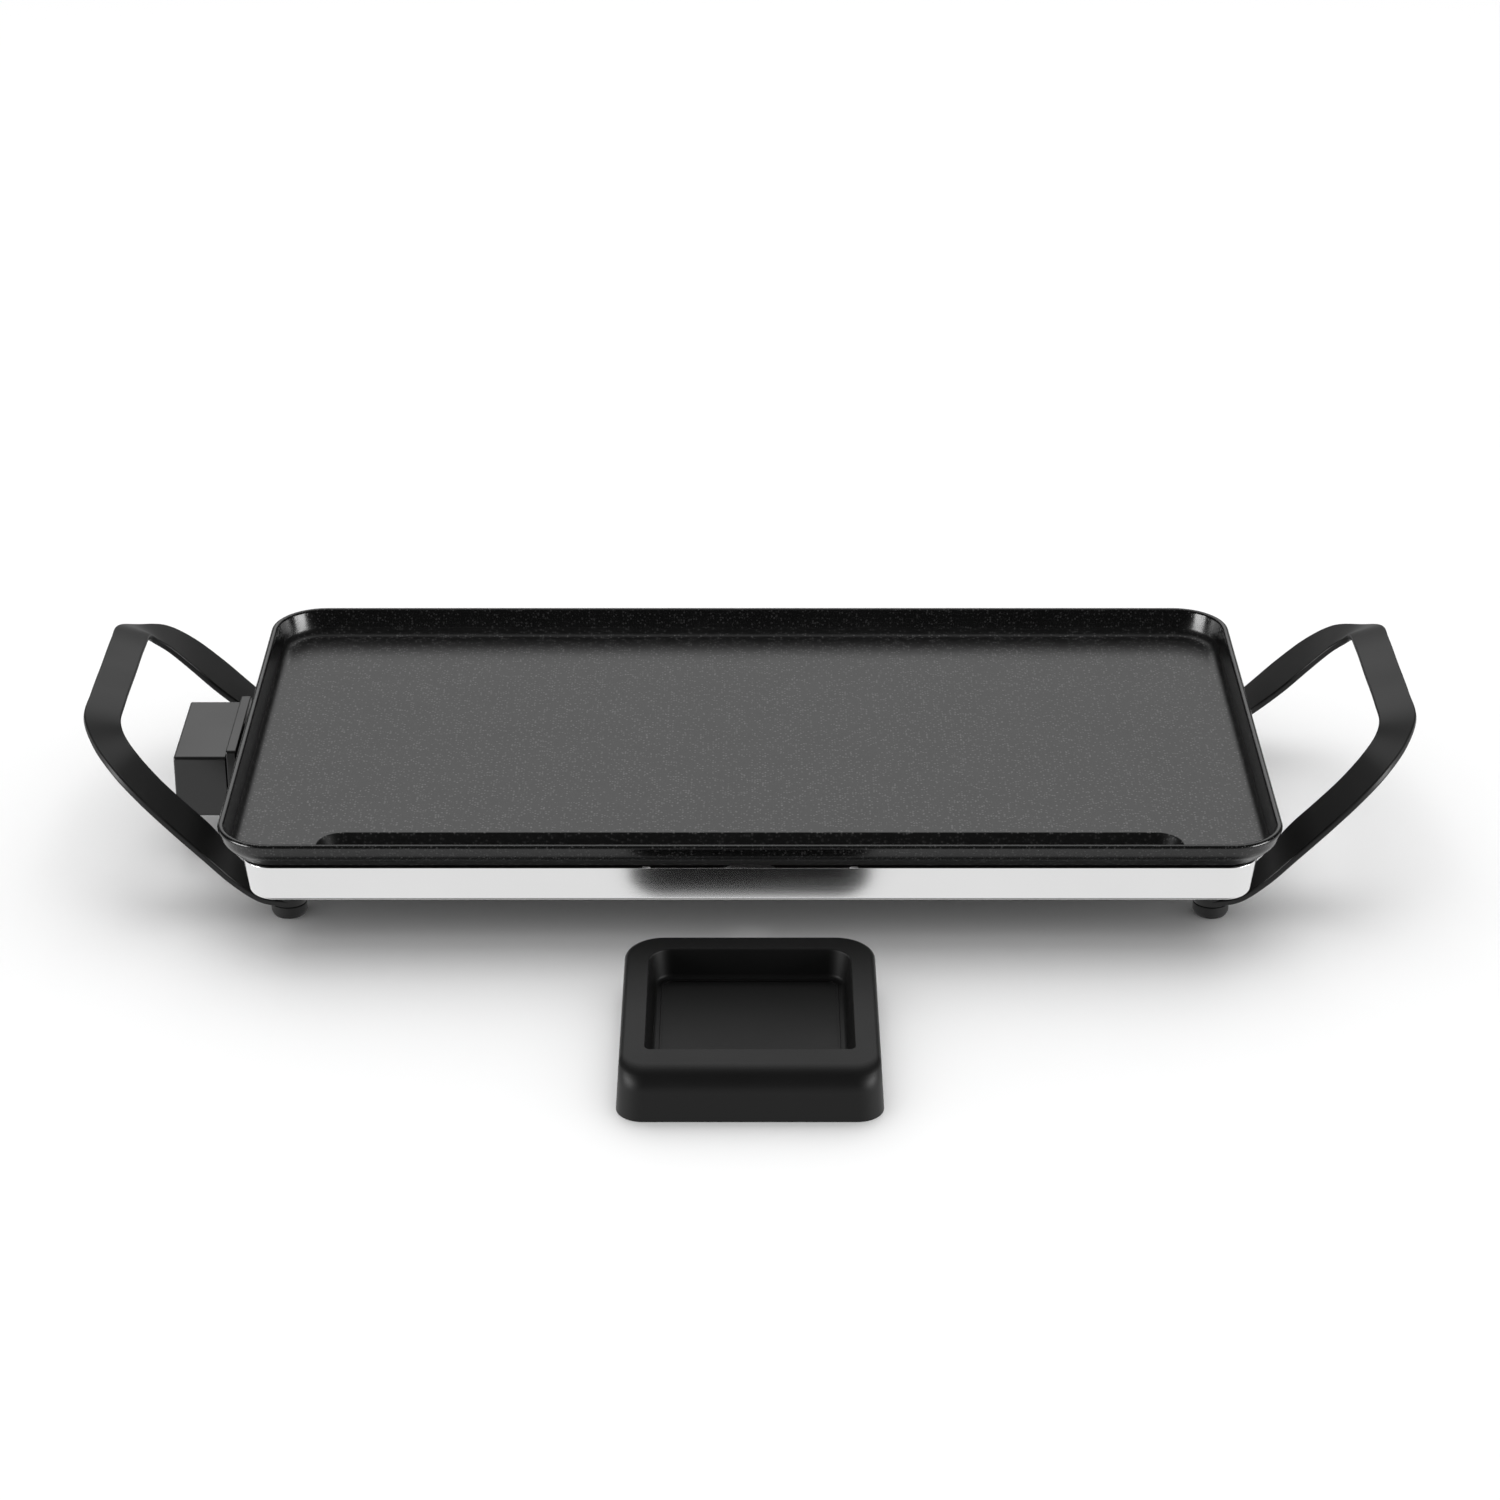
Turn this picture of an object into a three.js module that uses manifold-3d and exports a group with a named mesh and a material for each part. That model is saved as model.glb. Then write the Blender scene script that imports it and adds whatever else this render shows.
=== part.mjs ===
// Electric table griddle: a cast plate on a shallow steel body, two strap handles that end in the feet,
// a socket for a plug-in thermostat on the left side, the heater under the plate, and a loose drip tray.
// Millimetres. +X to the right, +Y to the back, +Z up. The surface it stands on is z = 0.
import * as THREE from 'three';
import { mergeVertices } from 'three/addons/utils/BufferGeometryUtils.js';
import Module from 'manifold-3d';

const wasm = await Module();
wasm.setup();

// ---------------------------------------------------------------- driving dimensions
const GAP = 0.3; // between pieces that touch
const SHEET = 1.2; // body sheet

const PLATE = {
  halfX: 230, halfY: 128.1, corner: 25, // outside of the rim
  rimZ: 55, surfaceZ: 43, undersideZ: 38.5, flangeZ: 41.9,
  rim: 3.4, // rim thickness at the top
};
const TROUGH = { halfX: 188, halfY: 12, corner: 12, y: -102, floorZ: 38, slope: 3.4, underZ: 34.5 };
const DRAIN = { y: -103, bore: 4.5, spout: 7, endZ: 23.3 };
const BOSS = { x: 150, y: 60, radius: 6, bore: 2.2 };

const BODY = {
  bottomZ: 23, topZ: 40,
  top: { halfX: 219.1, halfY: 118.1, corner: 14 },
  bottom: { halfX: 216.4, halfY: 116.2, corner: 12 },
};
const FOOT = { x: 203, y: 83, radius: 8, height: 5.7 };
const SCREW = {
  shank: 1.9, hole: 2.3, head: 3.7, headHeight: 1.9,
  footSeatZ: 2.9, proud: 1.5, plate: 12, clamp: 3.6, // seat of the foot screws, end past a nut, shank lengths
};
const NUT = { acrossFlats: 7, thickness: 3.2 };

const STRAP = { thickness: 3, chamfer: 0.8 };
// Outer and inner edge of the right handle's strap, from the middle of the grip to the foot, [x, |y|, z].
const STRAP_OUTER = [
  [293.2, 0, 81.4], [293.2, 30, 81.4], [293.4, 49.2, 78.7], [287.4, 64.1, 72.7],
  [276.2, 79.4, 65.6], [265.3, 86, 56.4], [252.6, 88.8, 44.2], [238.5, 89.5, 30],
  [225.3, 90, 17.1], [214, 91, 9.8], [203, 91, 7.8],
];
const STRAP_INNER = [
  [277.8, 0, 77], [277.8, 30, 77], [277.7, 47.1, 74.6], [275.8, 51.5, 70.4],
  [270.4, 56.2, 63.6], [260.9, 59.2, 52.7], [250.7, 60.1, 42], [239, 62.1, 30.9],
  [227.1, 68.1, 18.7], [214, 72, 9.8], [203, 75, 7.8],
];
const STRAP_STEPS = 3; // rings for each stretch between two points

const SOCKET = {
  outerX: -258.6, backX: -235, flangeX: -230.4, halfY: 30,
  bottomZ: 20.4, topZ: 50, flangeTopZ: 53, wall: 4.5, corner: 1.5,
};
const HEATER = {
  radius: 3.3, z: 34.9, outerY: 78, innerY: 30, rightX: 165, leftX: -120, coldY: 14, coldX: -226,
};
const PIN = { radius: 1.6, endX: -251 };
const PROBE = { outer: 4, inner: 3.1, z: 34.2, mouthX: -240, endX: -160 };
const SOCKET_SCREW = { y: 21.4, z: 32, nutX: -215.5 };
const NECK = { halfY: 28, lowZ: 25.5, highZ: 39.6 };
const THROAT = { halfY: 18, lowZ: 28.4, highZ: 38.6 };
const INLET = { halfY: 18.5, lowZ: 28, highZ: 39 };
const REFLECTOR = { halfX: 190, frontY: -92, backY: 104, topZ: 28, sheet: 0.8 };
const CLAMP = { width: 12, sheet: 1, foot: 13, toe: 8, holeAt: 9.2 };

const TRAY = {
  backY: -145.5, frontY: -261, halfTop: 52.5, halfBottom: 53.9, height: 22,
  backCorner: 16.5, frontCorner: 11, frontRound: 9, edgeRound: 2.4, wall: 2.5,
  bowl: { halfX: 42.4, backY: -157, frontY: -240.8, draft: 2.6, floorZ: 9.4, corner: 10 },
};
// The griddle stands behind the origin by this much: the origin is under the middle of griddle and tray.
const GRIDDLE_Y = (-TRAY.frontY - PLATE.halfY) / 2;

// ---------------------------------------------------------------- materials
const finish = (color, roughness, metalness) =>
  new THREE.MeshStandardMaterial({ color, roughness, metalness });
const NON_STICK = finish(0x2a2a2b, 0.4, 0.2);
const POLISHED_STEEL = finish(0xdfe0e2, 0.12, 1);
const BLACK_PLASTIC = finish(0x242425, 0.5, 0);
const RUBBER = finish(0x161616, 0.8, 0);
const ZINC_STEEL = finish(0xb4b6b8, 0.35, 1);
const HEATER_STEEL = finish(0x5d5f57, 0.45, 1);
const ALUMINIUM = finish(0xc9cacc, 0.3, 1);
const CERAMIC = finish(0xe9e4d6, 0.55, 0);
const BRASS = finish(0xc2a15a, 0.3, 1);

// ---------------------------------------------------------------- shape helpers
// A closed geometry as a solid for joining and cutting.
function solid(geometry) {
  const bare = new THREE.BufferGeometry().setAttribute('position', geometry.getAttribute('position'));
  if (geometry.index) bare.setIndex(geometry.index);
  const merged = mergeVertices(bare, 1e-4);
  return new wasm.Manifold(new wasm.Mesh({
    numProp: 3,
    vertProperties: merged.getAttribute('position').array,
    triVerts: new Uint32Array(merged.index.array),
  }));
}

function geometryOf(made) {
  const mesh = made.getMesh();
  const geometry = new THREE.BufferGeometry();
  geometry.setAttribute('position', new THREE.BufferAttribute(mesh.vertProperties, 3));
  geometry.setIndex(new THREE.BufferAttribute(mesh.triVerts, 1));
  const flat = geometry.toNonIndexed();
  flat.computeVertexNormals();
  return flat;
}

// Skin over rings that all have the same number of points. Each ring runs anticlockwise as seen from the side
// that the next rings go to. The first and the last ring are closed by a fan round their centre.
function loft(rings) {
  const count = rings[0].length;
  const points = rings.flat();
  const faces = [];
  for (let r = 0; r + 1 < rings.length; r++) {
    for (let i = 0; i < count; i++) {
      const a = r * count + i;
      const b = r * count + (i + 1) % count;
      faces.push(a, b, b + count, a, b + count, a + count);
    }
  }
  const centre = (ring) => [0, 1, 2].map((k) => ring.reduce((sum, p) => sum + p[k], 0) / count);
  const first = points.push(centre(rings[0])) - 1;
  const last = points.push(centre(rings.at(-1))) - 1;
  const top = (rings.length - 1) * count;
  for (let i = 0; i < count; i++) {
    const next = (i + 1) % count;
    faces.push(first, next, i, last, top + i, top + next);
  }
  const geometry = new THREE.BufferGeometry();
  geometry.setAttribute('position', new THREE.Float32BufferAttribute(points.flat(), 3));
  geometry.setIndex(faces);
  return solid(geometry);
}

// Rounded rectangle at height z, as a ring of points.
function rectRing({ halfX, halfY, corner }, z, { y = 0, steps = 5 } = {}) {
  const ring = [];
  for (let quarter = 0; quarter < 4; quarter++) {
    const sx = quarter === 0 || quarter === 3 ? 1 : -1;
    const sy = quarter < 2 ? 1 : -1;
    for (let i = 0; i <= steps; i++) {
      const angle = (quarter + i / steps) * Math.PI / 2;
      ring.push([
        sx * (halfX - corner) + corner * Math.cos(angle),
        y + sy * (halfY - corner) + corner * Math.sin(angle),
        z,
      ]);
    }
  }
  return ring;
}

const shrunk = ({ halfX, halfY, corner }, by, least = 2) => (
  { halfX: halfX - by, halfY: halfY - by, corner: Math.max(corner - by, least) });

// Turned piece with its axis along +Z, from [radius, z] pairs that go up the outside.
function turned(profile, sides = 12) {
  const points = profile.map(([r, z]) => new THREE.Vector2(r, z));
  return solid(new THREE.LatheGeometry(points, sides).rotateX(Math.PI / 2));
}

const rod = (radius, z0, z1, sides = 12) => turned([[0, z0], [radius, z0], [radius, z1], [0, z1]], sides);
const at = (made, x, y, z = 0) => made.translate([x, y, z]);
const alongX = (made) => made.rotate([0, 90, 0]); // an axis along +Z becomes one along +X

function box(x0, x1, y0, y1, z0, z1) {
  const geometry = new THREE.BoxGeometry(x1 - x0, y1 - y0, z1 - z0);
  return solid(geometry.translate((x0 + x1) / 2, (y0 + y1) / 2, (z0 + z1) / 2));
}

// A flat outline [[u, w], ...] in the XZ plane, made solid from y0 to y1.
function slabAlongY(outline, y0, y1) {
  const flat = (points) => new THREE.Shape(points.map((p) => new THREE.Vector2(...p)));
  const shape = outline instanceof THREE.Shape ? outline : flat(outline);
  const settings = { depth: y1 - y0, bevelEnabled: false, curveSegments: 6 };
  const geometry = new THREE.ExtrudeGeometry(shape, settings);
  return solid(geometry.rotateX(Math.PI / 2).translate(0, y1, 0));
}

const corners = (x, y) => [[-x, -y], [x, -y], [-x, y], [x, y]];

// ---------------------------------------------------------------- pieces
const griddle = new THREE.Group();
griddle.position.y = GRIDDLE_Y;
const tray = new THREE.Group();
tray.position.y = GRIDDLE_Y;
const group = new THREE.Group();
group.add(griddle, tray);

function piece(name, made, material, parent = griddle) {
  const mesh = new THREE.Mesh(geometryOf(made), material);
  mesh.name = name;
  parent.add(mesh);
  return mesh;
}

// Clamp saddle over a tube that runs along X: flat foot, loop under the tube, short toe.
// The tube's axis is at the origin.
function saddle(tubeRadius) {
  const inner = tubeRadius + 0.4;
  const outer = inner + CLAMP.sheet;
  const footTop = tubeRadius;
  const under = footTop - CLAMP.sheet;
  const shape = new THREE.Shape();
  shape.moveTo(-CLAMP.foot, under);
  shape.lineTo(-outer, under);
  shape.lineTo(-outer, 0);
  shape.absarc(0, 0, outer, Math.PI, 2 * Math.PI, false);
  shape.lineTo(outer, under);
  shape.lineTo(CLAMP.toe, under);
  shape.lineTo(CLAMP.toe, footTop);
  shape.lineTo(inner, footTop);
  shape.lineTo(inner, 0);
  shape.absarc(0, 0, inner, 0, -Math.PI, true);
  shape.lineTo(-inner, footTop);
  shape.lineTo(-CLAMP.foot, footTop);
  shape.closePath();
  const made = slabAlongY(shape, -CLAMP.width / 2, CLAMP.width / 2);
  return made.subtract(at(rod(SCREW.hole, -10, 10), -CLAMP.holeAt, 0)).rotate([0, 0, 90]);
}

// Where the clamps sit, as [x, y] of the tube and the side that the screw foot is on.
const CLAMPS = [
  [-90, HEATER.outerY, -1], [90, HEATER.outerY, -1], [-90, -HEATER.outerY, 1], [90, -HEATER.outerY, 1],
  [0, HEATER.innerY, -1], [0, -HEATER.innerY, 1],
];
const PROBE_CLAMP = [-185, 0, 1];
const clampScrewAt = ([x, y, side]) => [x, y + side * CLAMP.holeAt];

function griddlePlate() {
  const { rimZ, surfaceZ, undersideZ, flangeZ, rim } = PLATE;
  // [distance in from the outside of the rim, height], from the underside out, up, over the rim and in.
  const profile = [
    [14, undersideZ], [12.9, undersideZ], [12.9, flangeZ], [8.9, flangeZ], [7.4, flangeZ + 0.8],
    [5, flangeZ + 3.2], [2.9, flangeZ + 5.6], [1.5, flangeZ + 8.6], [0.4, rimZ - 1.3],
    [0.3, rimZ - 0.3], [1, rimZ], [rim - 0.8, rimZ], [rim, rimZ - 0.6],
    [5.6, surfaceZ + 3.2], [6.4, surfaceZ + 1.2], [8.2, surfaceZ + 0.2], [10.5, surfaceZ],
  ];
  let made = loft(profile.map(([inset, z]) => rectRing(shrunk(PLATE, inset), z, { steps: 6 })));
  const centred = { y: TROUGH.y };
  made = made.add(loft([
    rectRing(shrunk(TROUGH, -0.8), TROUGH.underZ, centred),
    rectRing(shrunk(TROUGH, -1.6), undersideZ + 0.5, centred),
  ]));
  const spout = at(rod(DRAIN.spout, DRAIN.endZ, TROUGH.underZ + 1, 16), 0, DRAIN.y);
  made = made.add(spout);
  for (const [x, y] of corners(BOSS.x, BOSS.y)) {
    const boss = rod(BOSS.radius, BODY.bottomZ + SHEET + GAP, undersideZ + 1);
    made = made.add(at(boss, x, y)).subtract(at(rod(BOSS.bore, 20, undersideZ + 1), x, y));
  }
  made = made.subtract(loft([
    rectRing(shrunk(TROUGH, TROUGH.slope), TROUGH.floorZ, centred),
    rectRing(shrunk(TROUGH, 0.4), surfaceZ - 0.5, centred),
    rectRing(shrunk(TROUGH, -0.4), surfaceZ + 0.1, centred),
  ]));
  for (const place of [...CLAMPS, PROBE_CLAMP]) {
    made = made.subtract(at(rod(SCREW.hole, undersideZ - 1, surfaceZ - 1.3), ...clampScrewAt(place)));
  }
  return made.subtract(at(rod(DRAIN.bore, 20, surfaceZ, 16), 0, DRAIN.y));
}
piece('griddle_plate', griddlePlate(), NON_STICK);

function bodyShell() {
  const { bottom, top, bottomZ, topZ } = BODY;
  const innerTop = shrunk(top, SHEET);
  const innerBottom = shrunk(bottom, SHEET);
  let made = loft([
    rectRing(shrunk(bottom, 6), bottomZ), rectRing(shrunk(bottom, 1.6), bottomZ),
    rectRing(shrunk(bottom, 0.5), bottomZ + 0.5), rectRing(bottom, bottomZ + 1.6),
    rectRing(top, topZ), rectRing(innerTop, topZ),
    rectRing(innerBottom, bottomZ + SHEET + 0.8), rectRing(shrunk(innerBottom, 0.8), bottomZ + SHEET),
    rectRing(shrunk(innerBottom, 6), bottomZ + SHEET),
  ]);
  // Spacer tabs on the front top edge: [x of the middle, half width below, half width on top, height].
  const tabs = [[0, 11.3, 8.4, 1.4], [-44.5, 1.9, 1.3, 0.8], [44.5, 1.9, 1.3, 0.8]];
  for (const [x, foot, crest, height] of tabs) {
    const tab = [[x - foot, topZ - 1], [x + foot, topZ - 1], [x + foot, topZ], [x + crest, topZ + height],
      [x - crest, topZ + height], [x - foot, topZ]];
    made = made.add(slabAlongY(tab, -top.halfY, -top.halfY + SHEET));
  }
  const hole = rod(SCREW.hole, bottomZ - 1, bottomZ + SHEET + 1);
  for (const [x, y] of [...corners(FOOT.x, FOOT.y), ...corners(BOSS.x, BOSS.y)]) {
    made = made.subtract(at(hole, x, y));
  }
  made = made.subtract(at(rod(DRAIN.spout + 1, bottomZ - 1, bottomZ + SHEET + 1, 16), 0, DRAIN.y));
  made = made.subtract(box(-BODY.top.halfX - 2, -200, -INLET.halfY, INLET.halfY, INLET.lowZ, INLET.highZ));
  for (const side of [-1, 1]) {
    made = made.subtract(at(alongX(rod(SCREW.hole, 0, 12)), -224, side * SOCKET_SCREW.y, SOCKET_SCREW.z));
  }
  return made;
}
piece('body_shell', bodyShell(), POLISHED_STEEL);

// Strap section: a thin rectangle with broken edges, from the outer to the inner edge, square to the strap.
function strapRing(outer, inner, ahead) {
  const across = outer.clone().sub(inner).normalize();
  const lift = across.clone().cross(ahead).normalize().multiplyScalar(STRAP.thickness / 2);
  const side = across.multiplyScalar(STRAP.chamfer);
  const low = 1 - STRAP.chamfer / (STRAP.thickness / 2);
  const corner = (edge, along, height) =>
    edge.clone().addScaledVector(side, along).addScaledVector(lift, height);
  return [
    corner(outer, 0, low), corner(outer, 0, -low), corner(outer, -1, -1), corner(inner, 1, -1),
    corner(inner, 0, -low), corner(inner, 0, low), corner(inner, 1, 1), corner(outer, -1, 1),
  ].map((p) => p.toArray());
}

function strapHandle(side) {
  const whole = (half) => [
    ...half.slice(1).reverse().map(([x, y, z]) => new THREE.Vector3(side * x, -y, z)),
    ...half.map(([x, y, z]) => new THREE.Vector3(side * x, y, z)),
  ];
  const outerEdge = new THREE.CatmullRomCurve3(whole(STRAP_OUTER), false, 'centripetal');
  const innerEdge = new THREE.CatmullRomCurve3(whole(STRAP_INNER), false, 'centripetal');
  const steps = (outerEdge.points.length - 1) * STRAP_STEPS;
  const middle = (t) => outerEdge.getPoint(t).add(innerEdge.getPoint(t)).multiplyScalar(0.5);
  const rings = [];
  for (let i = 0; i <= steps; i++) {
    const t = i / steps;
    const ahead = middle(Math.min(t + 0.004, 1)).sub(middle(Math.max(t - 0.004, 0)));
    rings.push(strapRing(outerEdge.getPoint(t), innerEdge.getPoint(t), ahead));
  }
  let made = loft(rings);
  for (const y of [-FOOT.y, FOOT.y]) {
    const post = rod(FOOT.radius, FOOT.height + GAP, BODY.bottomZ - GAP, 18);
    made = made.add(at(post, side * FOOT.x, y)).subtract(at(rod(SCREW.hole, 0, 30), side * FOOT.x, y));
  }
  return made;
}
piece('left_handle', strapHandle(-1), BLACK_PLASTIC);
piece('right_handle', strapHandle(1), BLACK_PLASTIC);

// Screw with its head down, its head's underside at z = 0 and its shank going up.
const screwUp = (length) => turned([
  [0, -SCREW.headHeight], [SCREW.head - 0.8, -SCREW.headHeight], [SCREW.head, -SCREW.headHeight + 0.8],
  [SCREW.head, 0], [SCREW.shank, 0], [SCREW.shank, length], [0, length],
], 10);
const nut = () =>
  rod(NUT.acrossFlats / Math.sqrt(3), 0, NUT.thickness, 6).subtract(rod(SCREW.hole, -1, 5, 10));

function foot() {
  const { radius, height } = FOOT;
  return turned([
    [0, 0], [radius - 1.6, 0], [radius - 0.5, 0.5], [radius, 1.6], [radius, height], [0, height],
  ], 18).subtract(rod(SCREW.head + 0.6, -1, 3.2, 12)).subtract(rod(SCREW.hole, -1, height + 1));
}

const places = { front_left: [-1, -1], front_right: [1, -1], back_left: [-1, 1], back_right: [1, 1] };
for (const [place, [sx, sy]] of Object.entries(places)) {
  const [x, y] = [sx * FOOT.x, sy * FOOT.y];
  const nutZ = BODY.bottomZ + SHEET + GAP;
  piece(`foot_${place}`, at(foot(), x, y), RUBBER);
  const length = nutZ + NUT.thickness + SCREW.proud - SCREW.footSeatZ;
  piece(`foot_screw_${place}`, at(screwUp(length), x, y, SCREW.footSeatZ), ZINC_STEEL);
  piece(`foot_nut_${place}`, at(nut(), x, y, nutZ), ZINC_STEEL);
}
corners(BOSS.x, BOSS.y).forEach(([x, y], i) => {
  const headTop = BODY.bottomZ - GAP;
  piece(`plate_screw_${i + 1}`, at(screwUp(SCREW.plate), x, y, headTop), ZINC_STEEL);
});

// ---------------------------------------------------------------- heater
// Centre line of the heating element, as [x, y] points: an M with its two cold ends at the socket.
function heaterLine() {
  const { outerY, innerY, rightX, leftX, coldY, coldX } = HEATER;
  const line = [];
  const arc = (x, y, radius, from, to, steps) => {
    for (let i = 0; i <= steps; i++) {
      const angle = THREE.MathUtils.degToRad(from + (to - from) * i / steps);
      line.push([x + radius * Math.cos(angle), y + radius * Math.sin(angle)]);
    }
  };
  const bend = 12;
  const turn = (outerY - innerY) / 2;
  line.push([coldX, coldY]);
  arc(-200 - bend, coldY + bend, bend, -90, 0, 3);
  arc(-200 + bend, outerY - bend, bend, 180, 90, 3);
  arc(rightX, outerY - turn, turn, 90, -90, 8);
  arc(leftX, 0, innerY, 90, 180, 4);
  const back = line.map(([x, y]) => [x, -y]).reverse();
  return [...line, ...back.slice(1)];
}

function heatingElement() {
  const line = heaterLine();
  const sides = 8;
  const rings = line.map(([x, y], i) => {
    const [x0, y0] = line[Math.max(i - 1, 0)];
    const [x1, y1] = line[Math.min(i + 1, line.length - 1)];
    const length = Math.hypot(x1 - x0, y1 - y0);
    const [nx, ny] = [-(y1 - y0) / length, (x1 - x0) / length];
    return Array.from({ length: sides }, (_, k) => {
      const angle = (k + 0.5) * 2 * Math.PI / sides;
      const reach = HEATER.radius * Math.cos(angle);
      return [x + nx * reach, y + ny * reach, HEATER.z + HEATER.radius * Math.sin(angle)];
    });
  });
  return loft(rings);
}
piece('heating_element', heatingElement(), HEATER_STEEL);

function clampSet(name, screwName, place, tubeRadius) {
  const [x, y, side] = place;
  const made = side > 0 ? saddle(tubeRadius).rotate([0, 0, 180]) : saddle(tubeRadius);
  const footZ = PLATE.undersideZ - GAP;
  piece(name, at(made, x, y, footZ - tubeRadius), ZINC_STEEL);
  const headTop = footZ - CLAMP.sheet - GAP;
  piece(screwName, at(screwUp(SCREW.clamp), ...clampScrewAt(place), headTop), ZINC_STEEL);
}
CLAMPS.forEach((place, i) => {
  clampSet(`element_clamp_${i + 1}`, `clamp_screw_${i + 1}`, place, HEATER.radius);
});
clampSet('probe_clamp', 'probe_clamp_screw', PROBE_CLAMP, PROBE.outer);

function heatReflector() {
  const { halfX, frontY, backY, topZ, sheet } = REFLECTOR;
  const standZ = BODY.bottomZ + SHEET + GAP;
  const outline = { halfX, halfY: (backY - frontY) / 2, corner: 10 };
  const centred = { y: (frontY + backY) / 2, steps: 3 };
  let made = loft([
    rectRing(shrunk(outline, -2), standZ, centred), rectRing(outline, topZ, centred),
    rectRing(shrunk(outline, 6), topZ, centred),
  ]);
  made = made.subtract(loft([
    rectRing(shrunk(outline, sheet - 2.1), standZ - 0.2, centred),
    rectRing(shrunk(outline, sheet), topZ - sheet, centred),
  ]));
  for (const [x, y] of corners(BOSS.x, BOSS.y)) {
    made = made.subtract(at(rod(BOSS.radius + 0.8, 20, topZ + 1), x, y));
  }
  return made;
}
piece('heat_reflector', heatReflector(), ALUMINIUM);

// ---------------------------------------------------------------- socket on the left side
// Block with rounded edges along X, from x0 to x1.
function roundedBlock(x0, x1, halfY, z0, z1, corner) {
  const outline = { halfX: halfY, halfY: (z1 - z0) / 2, corner };
  const ring = (x) => rectRing(outline, 0, { steps: 3 }).map(([u, w]) => [x, u, w + (z0 + z1) / 2]);
  return loft([ring(x0), ring(x1)]);
}
const acrossWall = (radius, y, z) => at(alongX(rod(radius, 0, 50)), -265, y, z);
const cavity = {
    halfY: SOCKET.halfY - SOCKET.wall,
    bottomZ: SOCKET.bottomZ + SOCKET.wall,
    topZ: SOCKET.topZ - 4,
  };

function cutPassages(made) {
  let open = made;
  for (const side of [-1, 1]) {
    open = open.subtract(acrossWall(PIN.radius + GAP, side * HEATER.coldY, HEATER.z));
    open = open.subtract(acrossWall(SCREW.hole, side * SOCKET_SCREW.y, SOCKET_SCREW.z));
  }
  return open.subtract(acrossWall(PROBE.outer + GAP, 0, PROBE.z));
}

function socketHousing() {
  const { outerX, backX, halfY, bottomZ, topZ, wall, corner } = SOCKET;
  const shell = roundedBlock(outerX, backX - GAP, halfY, bottomZ, topZ, corner);
  const hollow = roundedBlock(outerX - 1, backX - wall, cavity.halfY, cavity.bottomZ, cavity.topZ, 3);
  return cutPassages(shell.subtract(hollow));
}
piece('socket_housing', socketHousing(), BLACK_PLASTIC);

function socketFlange() {
  const { backX, flangeX, halfY, bottomZ, flangeTopZ, corner } = SOCKET;
  const { bottom, top, topZ } = BODY;
  const plate = roundedBlock(backX, flangeX, halfY, bottomZ, flangeTopZ, corner);
  // The neck's inner end follows the slope of the body wall.
  const slope = (top.halfX - bottom.halfX) / (topZ - BODY.bottomZ);
  const wallX = (z) => -(bottom.halfX + slope * (z - BODY.bottomZ)) - GAP - 0.1;
  const { halfY: neckY, lowZ, highZ } = NECK;
  const side = [[flangeX - 1, lowZ], [wallX(lowZ), lowZ], [wallX(highZ), highZ], [flangeX - 1, highZ]];
  const passage = box(flangeX, -200, -THROAT.halfY, THROAT.halfY, THROAT.lowZ, THROAT.highZ);
  return cutPassages(plate.add(slabAlongY(side, -neckY, neckY))).subtract(passage);
}
piece('socket_flange', socketFlange(), BLACK_PLASTIC);

for (const [place, side] of [['front', -1], ['back', 1]]) {
  const y = side * HEATER.coldY;
  const beadX = HEATER.coldX - GAP;
  const bead = turned([[PIN.radius + GAP, -3.4], [HEATER.radius, -3.4], [HEATER.radius, 0],
    [PIN.radius + GAP, 0], [PIN.radius + GAP, -3.4]], 12);
  piece(`terminal_bead_${place}`, at(alongX(bead), beadX, y, HEATER.z), CERAMIC);
  const pin = turned([[0, PIN.endX], [PIN.radius - 0.7, PIN.endX], [PIN.radius, PIN.endX + 1.2],
    [PIN.radius, beadX], [0, beadX]], 12);
  piece(`terminal_pin_${place}`, at(alongX(pin), 0, y, HEATER.z), BRASS);

  // Socket screw, head in the cavity, nut inside the body.
  const headX = SOCKET.backX - SOCKET.wall - GAP;
  const { nutX } = SOCKET_SCREW;
  const screw = screwUp(nutX + NUT.thickness + SCREW.proud - headX);
  piece(`socket_screw_${place}`, at(alongX(screw), headX, side * SOCKET_SCREW.y, SOCKET_SCREW.z), ZINC_STEEL);
  piece(`socket_nut_${place}`, at(alongX(nut()), nutX, side * SOCKET_SCREW.y, SOCKET_SCREW.z), ZINC_STEEL);
}

// Blind sleeve, open towards the socket.
const sleeve = turned([
  [PROBE.inner, PROBE.mouthX], [PROBE.outer, PROBE.mouthX], [PROBE.outer, PROBE.endX - 1.5],
  [PROBE.outer - 1.5, PROBE.endX], [0, PROBE.endX], [0, PROBE.endX - 1.5], [PROBE.inner, PROBE.endX - 1.5],
  [PROBE.inner, PROBE.mouthX],
], 12);
piece('probe_tube', at(alongX(sleeve), 0, 0, PROBE.z), BRASS);

// Earth blade: an L of springy sheet against the cavity's inner wall and under its roof.
function earthContact() {
  const wallX = SOCKET.backX - SOCKET.wall - GAP;
  const roofZ = cavity.topZ - 1.2;
  const [near, far] = [wallX - 1, wallX - 13];
  const endZ = PROBE.z + 5;
  return slabAlongY([[wallX, endZ], [wallX, roofZ], [far, roofZ], [far - 2, roofZ - 1.6],
    [far - 1.2, roofZ - 2.2], [far + 0.5, roofZ - 1], [near, roofZ - 1], [near, endZ]], -4, 4);
}
piece('earth_contact', earthContact(), BRASS);

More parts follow.
